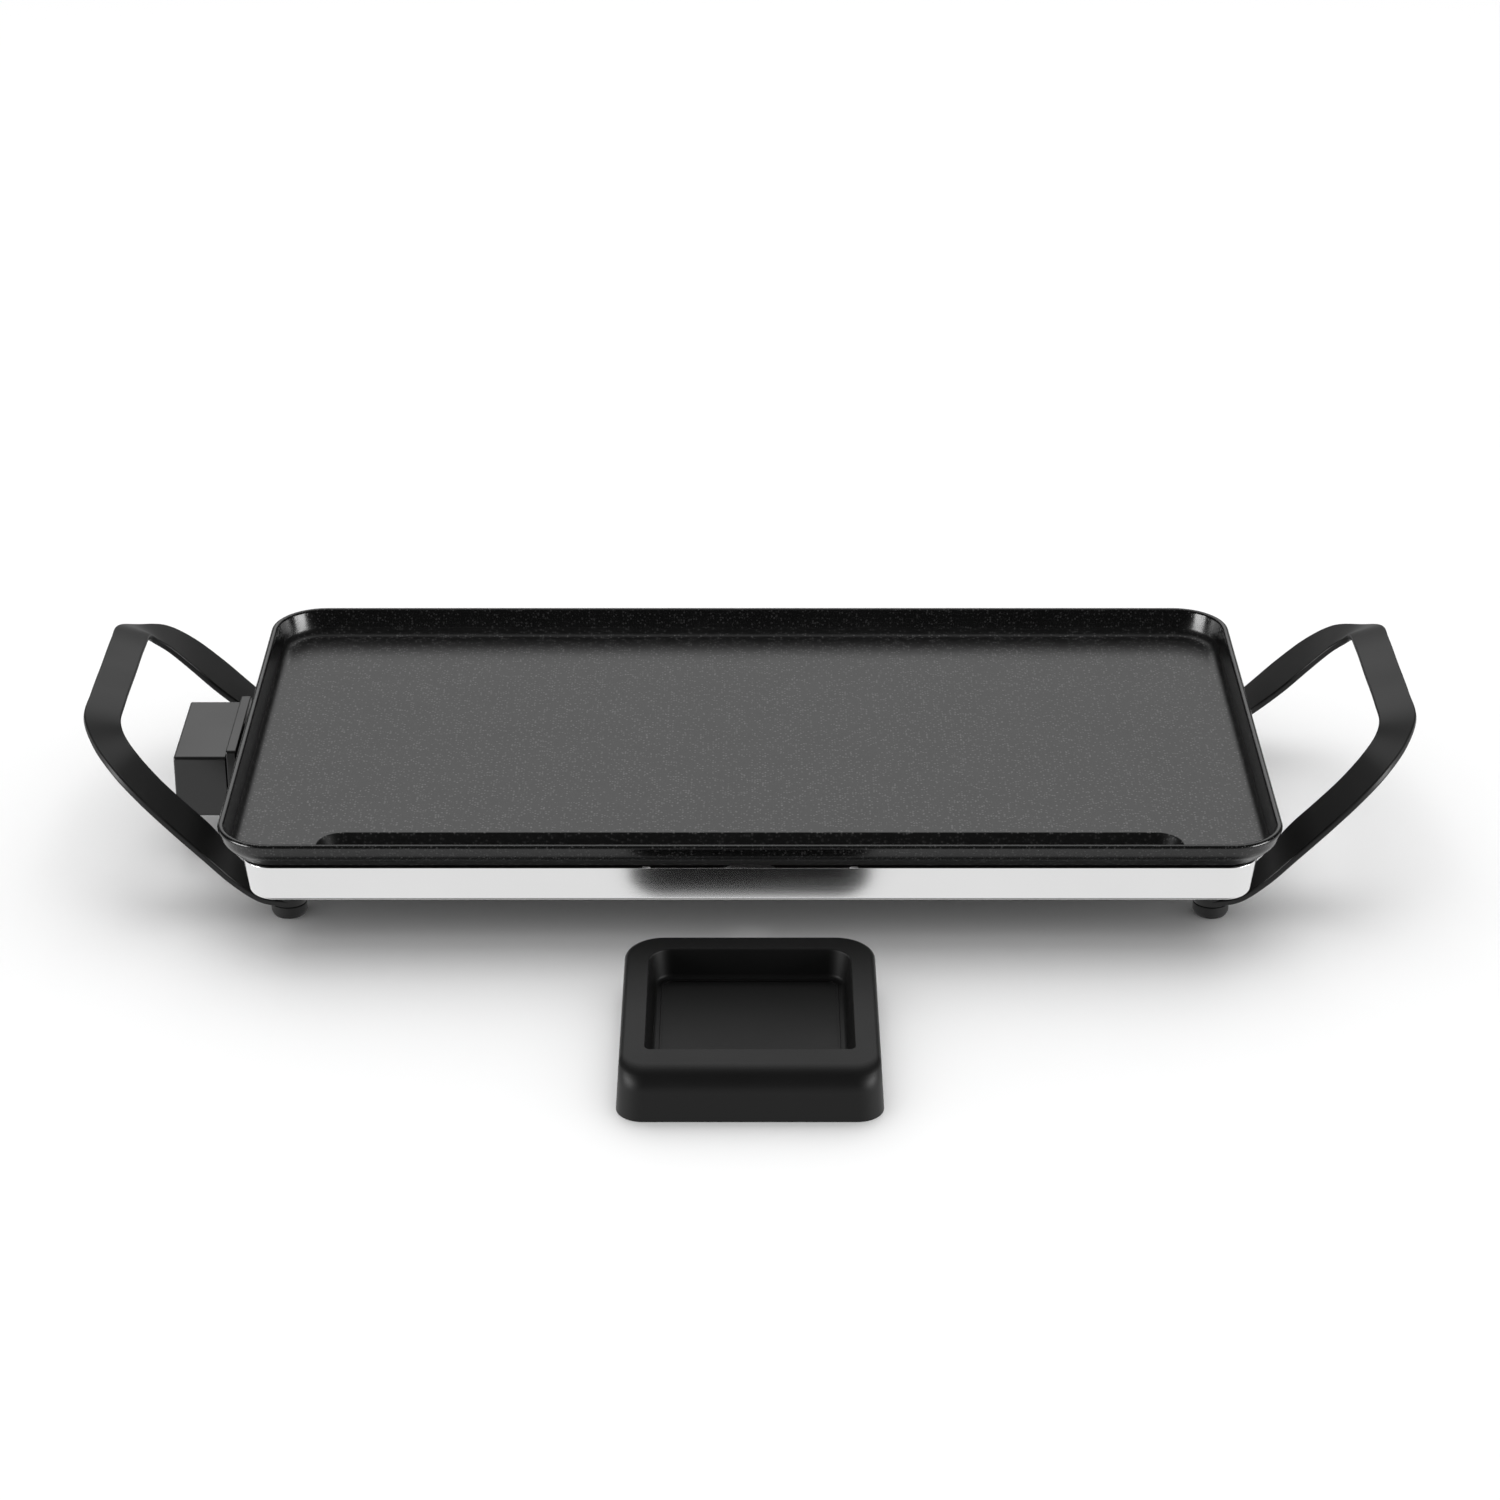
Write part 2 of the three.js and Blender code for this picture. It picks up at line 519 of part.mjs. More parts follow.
// ---------------------------------------------------------------- drip tray
function dripTray() {
  const { backY, frontY, halfTop, halfBottom, height, wall, bowl } = TRAY;
  const { backCorner, frontCorner, frontRound, edgeRound } = TRAY;
  // Outline at height z, moved in by inset, with its own corner radii at the back and at the front.
  const outline = (z, inset) => {
    const half = halfBottom + (halfTop - halfBottom) * z / height - inset;
    const [back, front] = [backY - inset, frontY + inset];
    const ring = [];
    const steps = 5;
    for (let quarter = 0; quarter < 4; quarter++) {
      const sx = quarter === 0 || quarter === 3 ? 1 : -1;
      const radius = Math.max((quarter < 2 ? backCorner : frontCorner) - inset, 1.5);
      const y = quarter < 2 ? back - radius : front + radius;
      for (let i = 0; i <= steps; i++) {
        const angle = (quarter + i / steps) * Math.PI / 2;
        ring.push([sx * (half - radius) + radius * Math.cos(angle), y + radius * Math.sin(angle), z]);
      }
    }
    return ring;
  };
  const shell = (inset, z0, z1, round) => loft([
    outline(z0, inset), outline(z1 - round, inset), outline(z1 - round * 0.3, inset + round * 0.3),
    outline(z1, inset + round),
  ]);
  // Side view of the tray, used to round the top of its front more than its other edges.
  const side = (inset, z0, z1) => {
    const shape = new THREE.Shape();
    const front = frontY + inset;
    shape.moveTo(front - 1, z0);
    shape.lineTo(backY + 1, z0);
    shape.lineTo(backY + 1, z1);
    shape.absarc(front + frontRound, z1 - frontRound, frontRound, Math.PI / 2, Math.PI, false);
    shape.lineTo(front - 1, z1 - frontRound);
    shape.closePath();
    const across = slabAlongY(shape, -60, 60); // its length is along X here
    return across.rotate([0, 0, 90]);
  };
  const outside = shell(0, 0, height, edgeRound).intersect(side(0, -1, height));
  const inside = shell(wall, -1, height - wall, edgeRound).intersect(side(wall, -2, height - wall));
  const [bowlY, bowlHalfY] = [(bowl.backY + bowl.frontY) / 2, (bowl.backY - bowl.frontY) / 2];
  const bowlTop = { halfX: bowl.halfX, halfY: bowlHalfY, corner: bowl.corner };
  const bowlSolid = (grow, z0) => loft([
    rectRing(shrunk(bowlTop, bowl.draft + 1 - grow), z0, { y: bowlY }),
    rectRing(shrunk(bowlTop, bowl.draft - grow), z0 + 1, { y: bowlY }),
    rectRing(shrunk(bowlTop, -grow), height + 0.2, { y: bowlY }),
  ]);
  const hollow = inside.subtract(bowlSolid(wall, bowl.floorZ - wall));
  return outside.subtract(hollow).subtract(bowlSolid(0, bowl.floorZ));
}
piece('drip_tray', dripTray(), BLACK_PLASTIC, tray);

export default group;
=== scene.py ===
# %% [markdown]
# # An electric table griddle with its drip tray
# The griddle is a cast plate with a dark non-stick coating, set on a shallow polished steel body. Two flat
# strap handles run down to the feet, a socket for the thermostat plug sits on the left, and a black plastic
# tray lies in front of the drain. The solid model gives every size and place, so it is loaded first and
# stays as it is. This lesson puts finer skins over its visible pieces and gives every piece its material.

# %% Load the fixed frame
import math
import bmesh
import bpy
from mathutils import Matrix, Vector


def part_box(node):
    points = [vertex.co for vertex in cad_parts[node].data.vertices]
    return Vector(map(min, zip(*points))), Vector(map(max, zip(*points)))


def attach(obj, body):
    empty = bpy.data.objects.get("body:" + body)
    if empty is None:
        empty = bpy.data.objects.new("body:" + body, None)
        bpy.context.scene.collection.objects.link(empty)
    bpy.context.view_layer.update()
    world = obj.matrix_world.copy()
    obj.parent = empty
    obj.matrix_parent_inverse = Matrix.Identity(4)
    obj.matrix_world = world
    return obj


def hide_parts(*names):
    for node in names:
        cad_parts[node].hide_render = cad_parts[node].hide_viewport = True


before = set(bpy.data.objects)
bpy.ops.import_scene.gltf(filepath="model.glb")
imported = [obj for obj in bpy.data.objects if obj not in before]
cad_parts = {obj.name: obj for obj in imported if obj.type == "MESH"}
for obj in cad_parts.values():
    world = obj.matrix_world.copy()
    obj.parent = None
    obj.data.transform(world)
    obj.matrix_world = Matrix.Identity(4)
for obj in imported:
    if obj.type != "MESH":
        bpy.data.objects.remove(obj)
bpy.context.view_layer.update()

# %% [markdown]
# ## Measures
# The frame is in metres, but the parts of a griddle are easier to think of in millimetres. So every measure
# below is in millimetres and one helper turns points into metres when a mesh is made. The places come from
# the boxes of the frame's nodes, which keeps each new skin on its solid.

# %% Measures taken from the frame
MM = 0.001


def box_mm(node):
    """Lowest and highest corner of a node, in millimetres."""
    return [Vector(corner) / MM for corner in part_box(node)]


plate_low, plate_high = box_mm("griddle_plate")
body_low = box_mm("body_shell")[0]
tray_low, tray_high = box_mm("drip_tray")
housing_low, housing_high = box_mm("socket_housing")
flange_low, flange_high = box_mm("socket_flange")
foot_low, foot_high = box_mm("foot_front_right")
plate_y = (plate_low.y + plate_high.y) / 2
half_plate = (plate_high - plate_low) / 2
print("plate", [round(2 * v, 1) for v in half_plate], "mm, its middle at y =", round(plate_y, 2))

# %% [markdown]
# ## Camera
# The camera comes first, because every later choice is judged through it. It stands in front of the griddle
# and looks down on it at about 26 degrees with a long lens, so the rims stay almost parallel.

# %% Camera
CAMERA_BACK = 1563.1
CAMERA_HEIGHT = 790.9
CAMERA_TILT = 64.32
LENS, SENSOR_WIDTH = 91.18, 36

camera_data = bpy.data.cameras.new("camera")
camera_data.lens = LENS
camera_data.sensor_width = SENSOR_WIDTH
camera = bpy.data.objects.new("camera", camera_data)
camera.location = Vector((0, plate_y - CAMERA_BACK, CAMERA_HEIGHT)) * MM
camera.rotation_euler = (math.radians(CAMERA_TILT), 0, 0)
bpy.context.scene.collection.objects.link(camera)
bpy.context.scene.camera = camera
bpy.context.scene.view_settings.view_transform = "Standard"
print("camera at", [round(v, 3) for v in camera.location])

# %% [markdown]
# ## Shader maths
# A material is a small program made of nodes. Written as node calls alone it is hard to read, so one class
# wraps an output socket and lets Python's own signs add the Math nodes. `1 - mask` needs the reflected
# forms, because the number stands on the left.


# %% A socket that can be added, multiplied and so on
class Wire:
    """One output of a node, used like a number."""

    def __init__(self, finish, socket):
        self.finish = finish
        self.socket = socket

    def _math(self, operation, left, right):
        return self.finish.node("Math", {"operation": operation}, {0: left, 1: right})

    def __add__(self, other):
        return self._math("ADD", self, other)

    def __sub__(self, other):
        return self._math("SUBTRACT", self, other)

    def __rsub__(self, other):
        return self._math("SUBTRACT", other, self)

    def __mul__(self, other):
        return self._math("MULTIPLY", self, other)

    def __abs__(self):
        return self.finish.node("Math", {"operation": "ABSOLUTE"}, {0: self})

    def __gt__(self, other):
        return self._math("GREATER_THAN", self, other)

    def __lt__(self, other):
        return self._math("LESS_THAN", self, other)

    __radd__ = __add__
    __rmul__ = __mul__


# %% [markdown]
# Every other node comes from one method. It takes the node's type, its settings, which have to be set before
# the sockets because they can change them, and what goes into the sockets: a number, a colour or a wire.


# %% A material in the making
class Finish:
    """A material, or the world, whose nodes are added by one method."""

    def __init__(self, owner):
        self.owner = owner
        owner.use_nodes = True
        self.tree = owner.node_tree
        self.tree.nodes.clear()

    def node(self, kind, settings=None, sockets=None, output=0):
        made = self.tree.nodes.new("ShaderNode" + kind)
        for name, value in (settings or {}).items():
            setattr(made, name, value)
        for name, value in (sockets or {}).items():
            socket = made.inputs[name]
            if isinstance(value, Wire):
                self.tree.links.new(value.socket, socket)
            else:
                socket.default_value = value
        return Wire(self, made.outputs[output]) if made.outputs else None


def srgb(level, tint=(1, 1, 1)):
    """The colour that a screen shows at this level, from 0 to 255."""
    share = level / 255
    linear = share / 12.92 if share <= 0.04045 else ((share + 0.055) / 1.055) ** 2.4
    return (linear * tint[0], linear * tint[1], linear * tint[2], 1)


MIX_A, MIX_B, MIX_COLOUR = 6, 7, 2  # a Mix node's colour inputs and its colour output


def blend_colours(finish, share, first, second):
    """The first colour where share is 0 and the second where it is 1."""
    sockets = {"Factor": share, MIX_A: first, MIX_B: second}
    return finish.node("Mix", {"data_type": "RGBA"}, sockets, MIX_COLOUR)


def new_finish(name):
    return Finish(bpy.data.materials.new(name))


def close_finish(finish, **sockets):
    """Adds the surface shader and the output. An underscore in a name stands for a space."""
    named = {name.replace("_", " "): value for name, value in sockets.items()}
    shader = finish.node("BsdfPrincipled", {}, named)
    finish.node("OutputMaterial", {}, {"Surface": shader})
    return finish.owner


def grain(finish, scale, detail, stretch=(1, 1, 1)):
    """Noise in the frame's own metres, from about 0.2 to 0.8. A stretch below 1 draws it out that way."""
    place = finish.node("TexCoord", output="Object")
    stretched = finish.node("VectorMath", {"operation": "MULTIPLY"}, {0: place, 1: stretch})
    return finish.node("TexNoise", {}, {"Vector": stretched, "Scale": scale, "Detail": detail})


def raised(finish, height, depth, strength):
    """A bump whose hills stand `depth` millimetres high where the height is 1."""
    sockets = {"Height": height, "Distance": depth * MM, "Strength": strength}
    return finish.node("Bump", {}, sockets)


print("shader helpers ready")

# %% [markdown]
# ## Floor and light
# A pale studio floor lies under a sky that is bright high up at the back, and dark low down, at the sides and
# in front. The dark cooking surface looks grey because its glossy coat mirrors that bright sky at a flat
# angle, while the upright walls mirror the dark front. Mirrors see a pale sky below instead of the floor, so
# that the steel body shines evenly and isn't streaked by shadows. That sky shows only in the first mirror
# and not straight down, which keeps it out of gaps. An even light from above falls on matt surfaces only.
# Two lamps in front are only mirrored, and give the short bars in the plate's back corners.

# %% Floor
FLOOR_HALF = 9000

floor_mesh = bpy.data.meshes.new("studio_floor")
corner_signs = ((-1, -1), (1, -1), (1, 1), (-1, 1))
floor_corners = [(sx * FLOOR_HALF * MM, sy * FLOOR_HALF * MM, 0) for sx, sy in corner_signs]
floor_mesh.from_pydata(floor_corners, [], [(0, 1, 2, 3)])
floor = bpy.data.objects.new("studio_floor", floor_mesh)
bpy.context.scene.collection.objects.link(floor)
floor_colour = srgb(247)
floor_finish = close_finish(new_finish("studio_floor"), Base_Color=floor_colour, Roughness=1.0,
                            Specular_IOR_Level=0.0)
floor_mesh.materials.append(floor_finish)
floor.visible_glossy = False

# %% Sky
SKY_DARK, SKY_BRIGHT, SKY_BELOW, SKY_FILL = 0.04, 1.4, 0.88, 0.72
BRIGHT_UPWARDS, BRIGHT_BACKWARDS, BRIGHT_SIDEWAYS = (0.26, 0.4), (-0.05, 0.6), (0.62, 0.3)
STEEP_DOWNWARDS = (-0.85, -1.0)
FIRST_MIRROR_DEPTH = 2.5

world = bpy.data.worlds.new("studio")
bpy.context.scene.world = world
sky = Finish(world)
direction = sky.node("TexCoord", output="Generated")
across, along, up = (sky.node("SeparateXYZ", {}, {0: direction}, axis) for axis in "XYZ")


def eased(value, start, stop):
    """Goes softly from 0 to 1 while the value goes from start to stop."""
    sockets = {"Value": value, "From Min": start, "From Max": stop}
    return value.finish.node("MapRange", {"interpolation_type": "SMOOTHSTEP"}, sockets)


high_up = eased(up, *BRIGHT_UPWARDS)
to_the_back = eased(along, *BRIGHT_BACKWARDS)
bright = high_up * to_the_back * eased(abs(across), *BRIGHT_SIDEWAYS)
first_mirrored = sky.node("LightPath", output="Ray Depth") < FIRST_MIRROR_DEPTH
steep = eased(up, *STEEP_DOWNWARDS)
below = (up < 0) * (1 - steep) * first_mirrored
fill = sky.node("LightPath", output="Is Diffuse Ray") * (up > 0) * SKY_FILL
level = bright * (SKY_BRIGHT - SKY_DARK) + SKY_DARK + fill + below * (SKY_BELOW - SKY_DARK)
background = sky.node("Background", {}, {"Color": (1, 1, 1, 1), "Strength": level})
sky.node("OutputWorld", {}, {"Surface": background})


# %% Lamps
def softbox(name, place, aim, size, watts, only_mirrored=False):
    """A flat lamp at a place, turned towards a point. It either lights things or is only mirrored in them."""
    data = bpy.data.lights.new(name, "AREA")
    data.shape = "RECTANGLE"
    data.size, data.size_y = (side * MM for side in size)
    data.energy = watts
    lamp = bpy.data.objects.new(name, data)
    lamp.location = Vector(place) * MM
    lamp.rotation_euler = (Vector(place) - Vector(aim)).to_track_quat("Z", "Y").to_euler()
    lamp.visible_glossy = only_mirrored
    lamp.visible_diffuse = not only_mirrored
    bpy.context.scene.collection.objects.link(lamp)
    return lamp


CEILING_PLACE, CEILING_SIZE, CEILING_WATTS = (0, 150, 2600), (1500, 1500), 10
FRONT_SIDE, FRONT_Y, FRONT_HEIGHT = 2057, -853, 400
FRONT_SIZE, FRONT_WATTS = (1300, 800), 45
FRONT_AIM = (0, plate_y, 40)

softbox("ceiling", CEILING_PLACE, (0, 0, 0), CEILING_SIZE, CEILING_WATTS)
for side, name in ((-1, "left"), (1, "right")):
    place = (side * FRONT_SIDE, FRONT_Y, FRONT_HEIGHT)
    softbox("front_" + name, place, FRONT_AIM, FRONT_SIZE, FRONT_WATTS, only_mirrored=True)
print("floor, sky and three lamps in place")

# %% [markdown]
# ## Shaping tools
# Nearly every piece is a stack of outlines, one above another, with faces between them, as a stack of paper
# shapes would make a form. Corners in the side view are rounded first, so that each edge catches a thin
# line of light. Holes are then cut with the Boolean modifier. A box or cylinder would be quicker but would
# have dead sharp edges.

# %% Outlines and rounded paths
CORNER_STEPS = 14


def rounded_rectangle(half_x, half_y, back_corner, z, middle=(0, 0), steps=CORNER_STEPS, front_corner=None):
    """Ring of points round a rectangle with round corners, anticlockwise from above."""
    ring = []
    for quarter in range(4):
        corner = back_corner if quarter < 2 or front_corner is None else front_corner
        sx = 1 if quarter in (0, 3) else -1
        sy = 1 if quarter < 2 else -1
        for i in range(steps + 1):
            angle = (quarter + i / steps) * math.pi / 2
            x = middle[0] + sx * (half_x - corner) + corner * math.cos(angle)
            y = middle[1] + sy * (half_y - corner) + corner * math.sin(angle)
            ring.append((x, y, z))
    return ring


def filleted(path, steps=6, closed=False):
    """A path of (u, w, radius) points with each corner replaced by an arc that touches both its sides."""
    points = [Vector(p[:2]) for p in path]
    rounded = []
    for i, (u, w, radius) in enumerate(path):
        here = points[i]
        ends = not closed and i in (0, len(path) - 1)
        if ends or radius <= 0:
            rounded.append((u, w))
            continue
        before = (points[i - 1] - here).normalized()
        after = (points[(i + 1) % len(path)] - here).normalized()
        half_angle = math.acos(max(-1, min(1, before.dot(after)))) / 2
        bisector = (before + after).normalized()
        centre = here + bisector * (radius / math.sin(half_angle))
        half_sweep = math.pi / 2 - half_angle
        turning = -1 if before.x * after.y - before.y * after.x > 0 else 1
        middle = math.atan2(-bisector.y, -bisector.x)
        for k in range(steps + 1):
            angle = middle + turning * half_sweep * (2 * k / steps - 1)
            rounded.append((centre.x + radius * math.cos(angle), centre.y + radius * math.sin(angle)))
    return rounded


# %% Meshes from rings
def mesh_object(name, points, faces):
    """An object made of points in millimetres and faces, with its faces turned outwards."""
    mesh = bpy.data.meshes.new(name)
    mesh.from_pydata([Vector(p) * MM for p in points], [], faces)
    made = bpy.data.objects.new(name, mesh)
    bpy.context.scene.collection.objects.link(made)
    shell = bmesh.new()
    shell.from_mesh(mesh)
    bmesh.ops.remove_doubles(shell, verts=shell.verts, dist=1e-7)
    bmesh.ops.recalc_face_normals(shell, faces=shell.faces)
    shell.to_mesh(mesh)
    shell.free()
    return made


def stacked(name, rings):
    """A closed form through rings that all have the same number of points."""
    count = len(rings[0])
    points = [p for ring in rings for p in ring]
    faces = [tuple(range(count)), tuple(range((len(rings) - 1) * count, len(rings) * count))]
    for r in range(len(rings) - 1):
        for i in range(count):
            a, b = r * count + i, r * count + (i + 1) % count
            faces.append((a, b, b + count, a + count))
    return mesh_object(name, points, faces)


def turned(name, profile, middle=(0, 0, 0), axis="Z", sides=48):
    """A form turned on a lathe from (radius, height) pairs; its axis points up or along X."""
    rings = []
    for radius, height in profile:
        ring = []
        for i in range(sides):
            angle = 2 * math.pi * i / sides
            x, y, z = radius * math.cos(angle), radius * math.sin(angle), height
            if axis == "X":
                x, y, z = z, x, y
            ring.append((x + middle[0], y + middle[1], z + middle[2]))
        rings.append(ring)
    return stacked(name, rings)


def rod(radius, low, high, middle=(0, 0), axis="Z", sides=32):
    """A plain round rod, used as a cutter for holes or as stock to join."""
    place = (middle[0], middle[1], 0) if axis == "Z" else (0, middle[0], middle[1])
    return turned("rod", [(radius, low), (radius, high)], place, axis, sides)


def slab(outline, start, stop, turn=lambda u, w, depth: (u, depth, w)):
    """A flat outline of (u, w) points made solid between two depths, along Y unless turned."""
    rings = [[turn(u, w, depth) for u, w in outline] for depth in (start, stop)]
    return stacked("slab", rings)


# %% Cutting, joining and smoothing
def apply_modifiers(piece):
    """Makes what the modifiers show the piece's own mesh."""
    evaluated = piece.evaluated_get(bpy.context.evaluated_depsgraph_get())
    result = bpy.data.meshes.new_from_object(evaluated)
    piece.modifiers.clear()
    piece.data = result


def combine(piece, others, operation):
    """Cuts the others from the piece or joins them to it, and uses them up."""
    for other in others:
        step = piece.modifiers.new("shape", "BOOLEAN")
        step.operation = operation
        step.solver = "MANIFOLD"
        step.object = other
    apply_modifiers(piece)
    for other in others:
        bpy.data.objects.remove(other)
    return piece


def cut(piece, *others):
    return combine(piece, others, "DIFFERENCE")


def join(piece, *others):
    return combine(piece, others, "UNION")


SHARP_ANGLE = 32


def smooth(piece):
    """Smooth shading over the small facets, with the large flat faces deciding the shading at their edges."""
    for face in piece.data.polygons:
        face.use_smooth = True
    piece.data.set_sharp_from_angle(angle=math.radians(SHARP_ANGLE))
    even = piece.modifiers.new("even shading", "WEIGHTED_NORMAL")
    even.keep_sharp = True
    apply_modifiers(piece)
    return piece


def finished(piece, name, finish, body, slot, *nodes):
    """Names a finished piece, gives it its material and puts it in place of its solids."""
    piece.name = name
    piece.data.materials.clear()
    piece.data.materials.append(finish)
    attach(piece, body)
    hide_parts(*nodes)
    print(name, len(piece.data.polygons), "faces")
    return piece


# %% [markdown]
# ## Non-stick coat
# The coat is a thin dark enamel with pale specks in it, glossy on the walls and a little duller where it is
# cooked on. The specks come from a Voronoi pattern: a speck is a spot in the middle of some of its cells.
# Their places are fixed in the metal, in metres, so no unwrapping is needed.

# %% Non-stick coat
SURFACE_Z, SURFACE_BAND = 43, 0.6
WALL_DULL_Z, WALL_GLOSSY_Z = 43.6, 52
SPECKS_PER_METRE, SPECK_RADIUS, SPECK_LOT = 850, 0.42, 0.7
DUST_PER_METRE, DUST_RADIUS, DUST_LOT = 1700, 0.4, 0.6


def scattered(finish, place, per_metre, channel):
    """Cells spread through space: how far a point is from its cell's middle, and the cell's own lot."""
    cells = {"Vector": place, "Scale": per_metre, "Randomness": 1.0}
    distance = finish.node("TexVoronoi", {}, cells, "Distance")
    shade = finish.node("TexVoronoi", {}, cells, "Color")
    return distance, finish.node("SeparateColor", {}, {"Color": shade}, channel)


def speckled_coat():
    finish = new_finish("non_stick_coat")
    place = finish.node("TexCoord", output="Object")
    speck, speck_lot = scattered(finish, place, SPECKS_PER_METRE, "Red")
    dust, dust_lot = scattered(finish, place, DUST_PER_METRE, "Green")
    specks = (speck < SPECK_RADIUS) * (speck_lot > SPECK_LOT) * speck_lot
    dusting = (dust < DUST_RADIUS) * (dust_lot > DUST_LOT)
    mottle = grain(finish, 45, 4)
    coat = blend_colours(finish, mottle, srgb(10), srgb(18))
    dusted = blend_colours(finish, dusting * 0.1, coat, srgb(95))
    height = finish.node("SeparateXYZ", {}, {0: place}, "Z")
    # Painted shade: the specks are paler on the flat cooking surface than on the upright walls, so the walls
    # read darker.
    painted_lit_top = (height > (SURFACE_Z - SURFACE_BAND) * MM) * (height < (SURFACE_Z + SURFACE_BAND) * MM)
    colour = blend_colours(finish, specks * (painted_lit_top * 0.2 + 0.14), dusted, srgb(125))
    wall = {"Value": height, "From Min": WALL_DULL_Z * MM, "From Max": WALL_GLOSSY_Z * MM}
    dullness = finish.node("MapRange", {}, {**wall, "To Min": 0.3, "To Max": 0.15})
    roughness = dullness + mottle * 0.05
    peel = grain(finish, 420, 3) + specks * 0.5
    skin = raised(finish, peel, 0.03, 0.5)
    return close_finish(finish, Base_Color=colour, Roughness=roughness, IOR=1.5, Normal=skin)


coat_finish = speckled_coat()
print("coat:", len(coat_finish.node_tree.nodes), "nodes")

# %% [markdown]
# ## Plate
# The real plate is cast aluminium. Its walls lean outwards, the rim is rounded, and the cooking surface
# meets the walls in a soft hollow. One side view, with a radius at every corner, is carried round a
# rounded rectangle. The trough for the fat, its drain and the screw posts under the plate are cut and
# joined afterwards.

# %% Plate
PLATE_CORNER = 25
UNDERSIDE_Z = 38.5
RIM_Z = plate_high.z


def plate_ring(inset, z):
    corner = max(PLATE_CORNER - inset, 3)
    return rounded_rectangle(half_plate.x - inset, half_plate.y - inset, corner, z, (0, plate_y))


plate_side = filleted([
    (26, UNDERSIDE_Z, 0), (14, UNDERSIDE_Z, 0), (12.9, UNDERSIDE_Z, 0.5), (12.9, 41.9, 0.4), (8.4, 41.9, 2),
    (2.2, 48, 9), (0, RIM_Z, 1.4), (3.2, RIM_Z, 1.5), (6.5, SURFACE_Z, 5.5),
    (14, SURFACE_Z, 0), (26, SURFACE_Z, 0),
])
plate = stacked("plate", [plate_ring(inset, z) for inset, z in plate_side])

TROUGH_HALF = (188, 12)
TROUGH_Y = plate_y - 102
TROUGH_FLOOR_Z = 38
DRAIN_Y = plate_y - 103
SPOUT_RADIUS, DRAIN_RADIUS = 7, 4.5
POST_X, POST_Y, POST_FOOT_Z = 150, 60, 24.5
POST_RADIUS, POST_BORE = 6, 2.2
post_places = [(sx * POST_X, plate_y + sy * POST_Y) for sx in (-1, 1) for sy in (-1, 1)]


def trough_ring(inset, z):
    half_x, half_y = TROUGH_HALF
    return rounded_rectangle(half_x - inset, half_y - inset, max(half_y - inset, 2), z, (0, TROUGH_Y))


under_trough = filleted([(3, 34.5, 0), (-0.8, 34.5, 1), (-1.6, 39.5, 0)])
trough_side = filleted([
    (8, TROUGH_FLOOR_Z, 0), (3.6, TROUGH_FLOOR_Z, 1.6), (0.4, SURFACE_Z + 0.02, 0.9),
    (-1.6, SURFACE_Z + 0.04, 0), (-1.6, SURFACE_Z + 3, 0),
])
spout_side = filleted([(5, plate_low.z, 0), (SPOUT_RADIUS, plate_low.z, 0.5), (SPOUT_RADIUS, 35.5, 0)])
spout = turned("spout", spout_side, (0, DRAIN_Y, 0))
posts = [rod(POST_RADIUS, POST_FOOT_Z, UNDERSIDE_Z + 1, place) for place in post_places]
join(plate, stacked("under_trough", [trough_ring(*step) for step in under_trough]), spout, *posts)

CLAMP_SCREWS = [(-90, 68.8), (90, 68.8), (-90, -68.8), (90, -68.8), (0, 20.8), (0, -20.8), (-185, 9.2)]
CLAMP_BORE, CLAMP_BORE_TOP = 2.3, 41.7
bores = [rod(POST_BORE, 20, UNDERSIDE_Z + 1, place) for place in post_places]
blind_holes = [rod(CLAMP_BORE, 30, CLAMP_BORE_TOP, (x, plate_y + y), sides=20) for x, y in CLAMP_SCREWS]
drain_side = filleted([(DRAIN_RADIUS, 20, 0), (DRAIN_RADIUS, TROUGH_FLOOR_Z + 0.02, 0.8),
                       (DRAIN_RADIUS + 1.4, TROUGH_FLOOR_Z + 0.04, 0), (DRAIN_RADIUS + 1.4, 41, 0)])
cut(plate, stacked("trough", [trough_ring(*step) for step in trough_side]),
    turned("drain", drain_side, (0, DRAIN_Y, 0)), *bores, *blind_holes)
smooth(plate)
finished(plate, "cast_plate", coat_finish, "griddle", "non_stick_aluminium", "griddle_plate")

# %% [markdown]
# ## Polished steel
# Rolled stainless sheet keeps very fine lines along its length. They blur what it mirrors, more along the
# height than along the width. Noise drawn out along X gives the lines, and a slow noise gives the slightly
# duller patches that wiping leaves.

# %% Polished steel
def polished_steel():
    finish = new_finish("polished_steel")
    lines = grain(finish, 900, 2, (0.02, 1, 1))
    wiped = grain(finish, 14, 3)
    colour = blend_colours(finish, wiped, srgb(232), srgb(240))
    roughness = wiped * 0.04 + lines * 0.05 + 0.16
    return close_finish(finish, Base_Color=colour, Metallic=1.0, Roughness=roughness,
                        Normal=raised(finish, lines, 0.001, 0.2))


steel_finish = polished_steel()
print("steel:", len(steel_finish.node_tree.nodes), "nodes")

# %% [markdown]
# ## Body
# The body is a pressed tray of sheet, open at the top, with walls that lean outwards. The stack of outlines
# goes up the outside, over the edge and down the inside, so the sheet has its real thickness. Small tabs on
# the front edge keep a gap under the plate.

# %% Body
SHEET = 1.2
BODY_TOP = (219.1, 118.1, 14)
BODY_BOTTOM = (216.4, 116.2, 12)
BODY_TOP_Z = 40
FOOT_X, FOOT_Y = 203, 83
foot_places = [(sx * FOOT_X, plate_y + sy * FOOT_Y) for sx in (-1, 1) for sy in (-1, 1)]


def body_ring(inset, z):
    """The leaning wall's outline at a height, moved in by the inset."""
    share = (z - body_low.z) / (BODY_TOP_Z - body_low.z)
    half_x, half_y, corner = (low + (top - low) * share for low, top in zip(BODY_BOTTOM, BODY_TOP))
    return rounded_rectangle(half_x - inset, half_y - inset, max(corner - inset, 2), z, (0, plate_y))


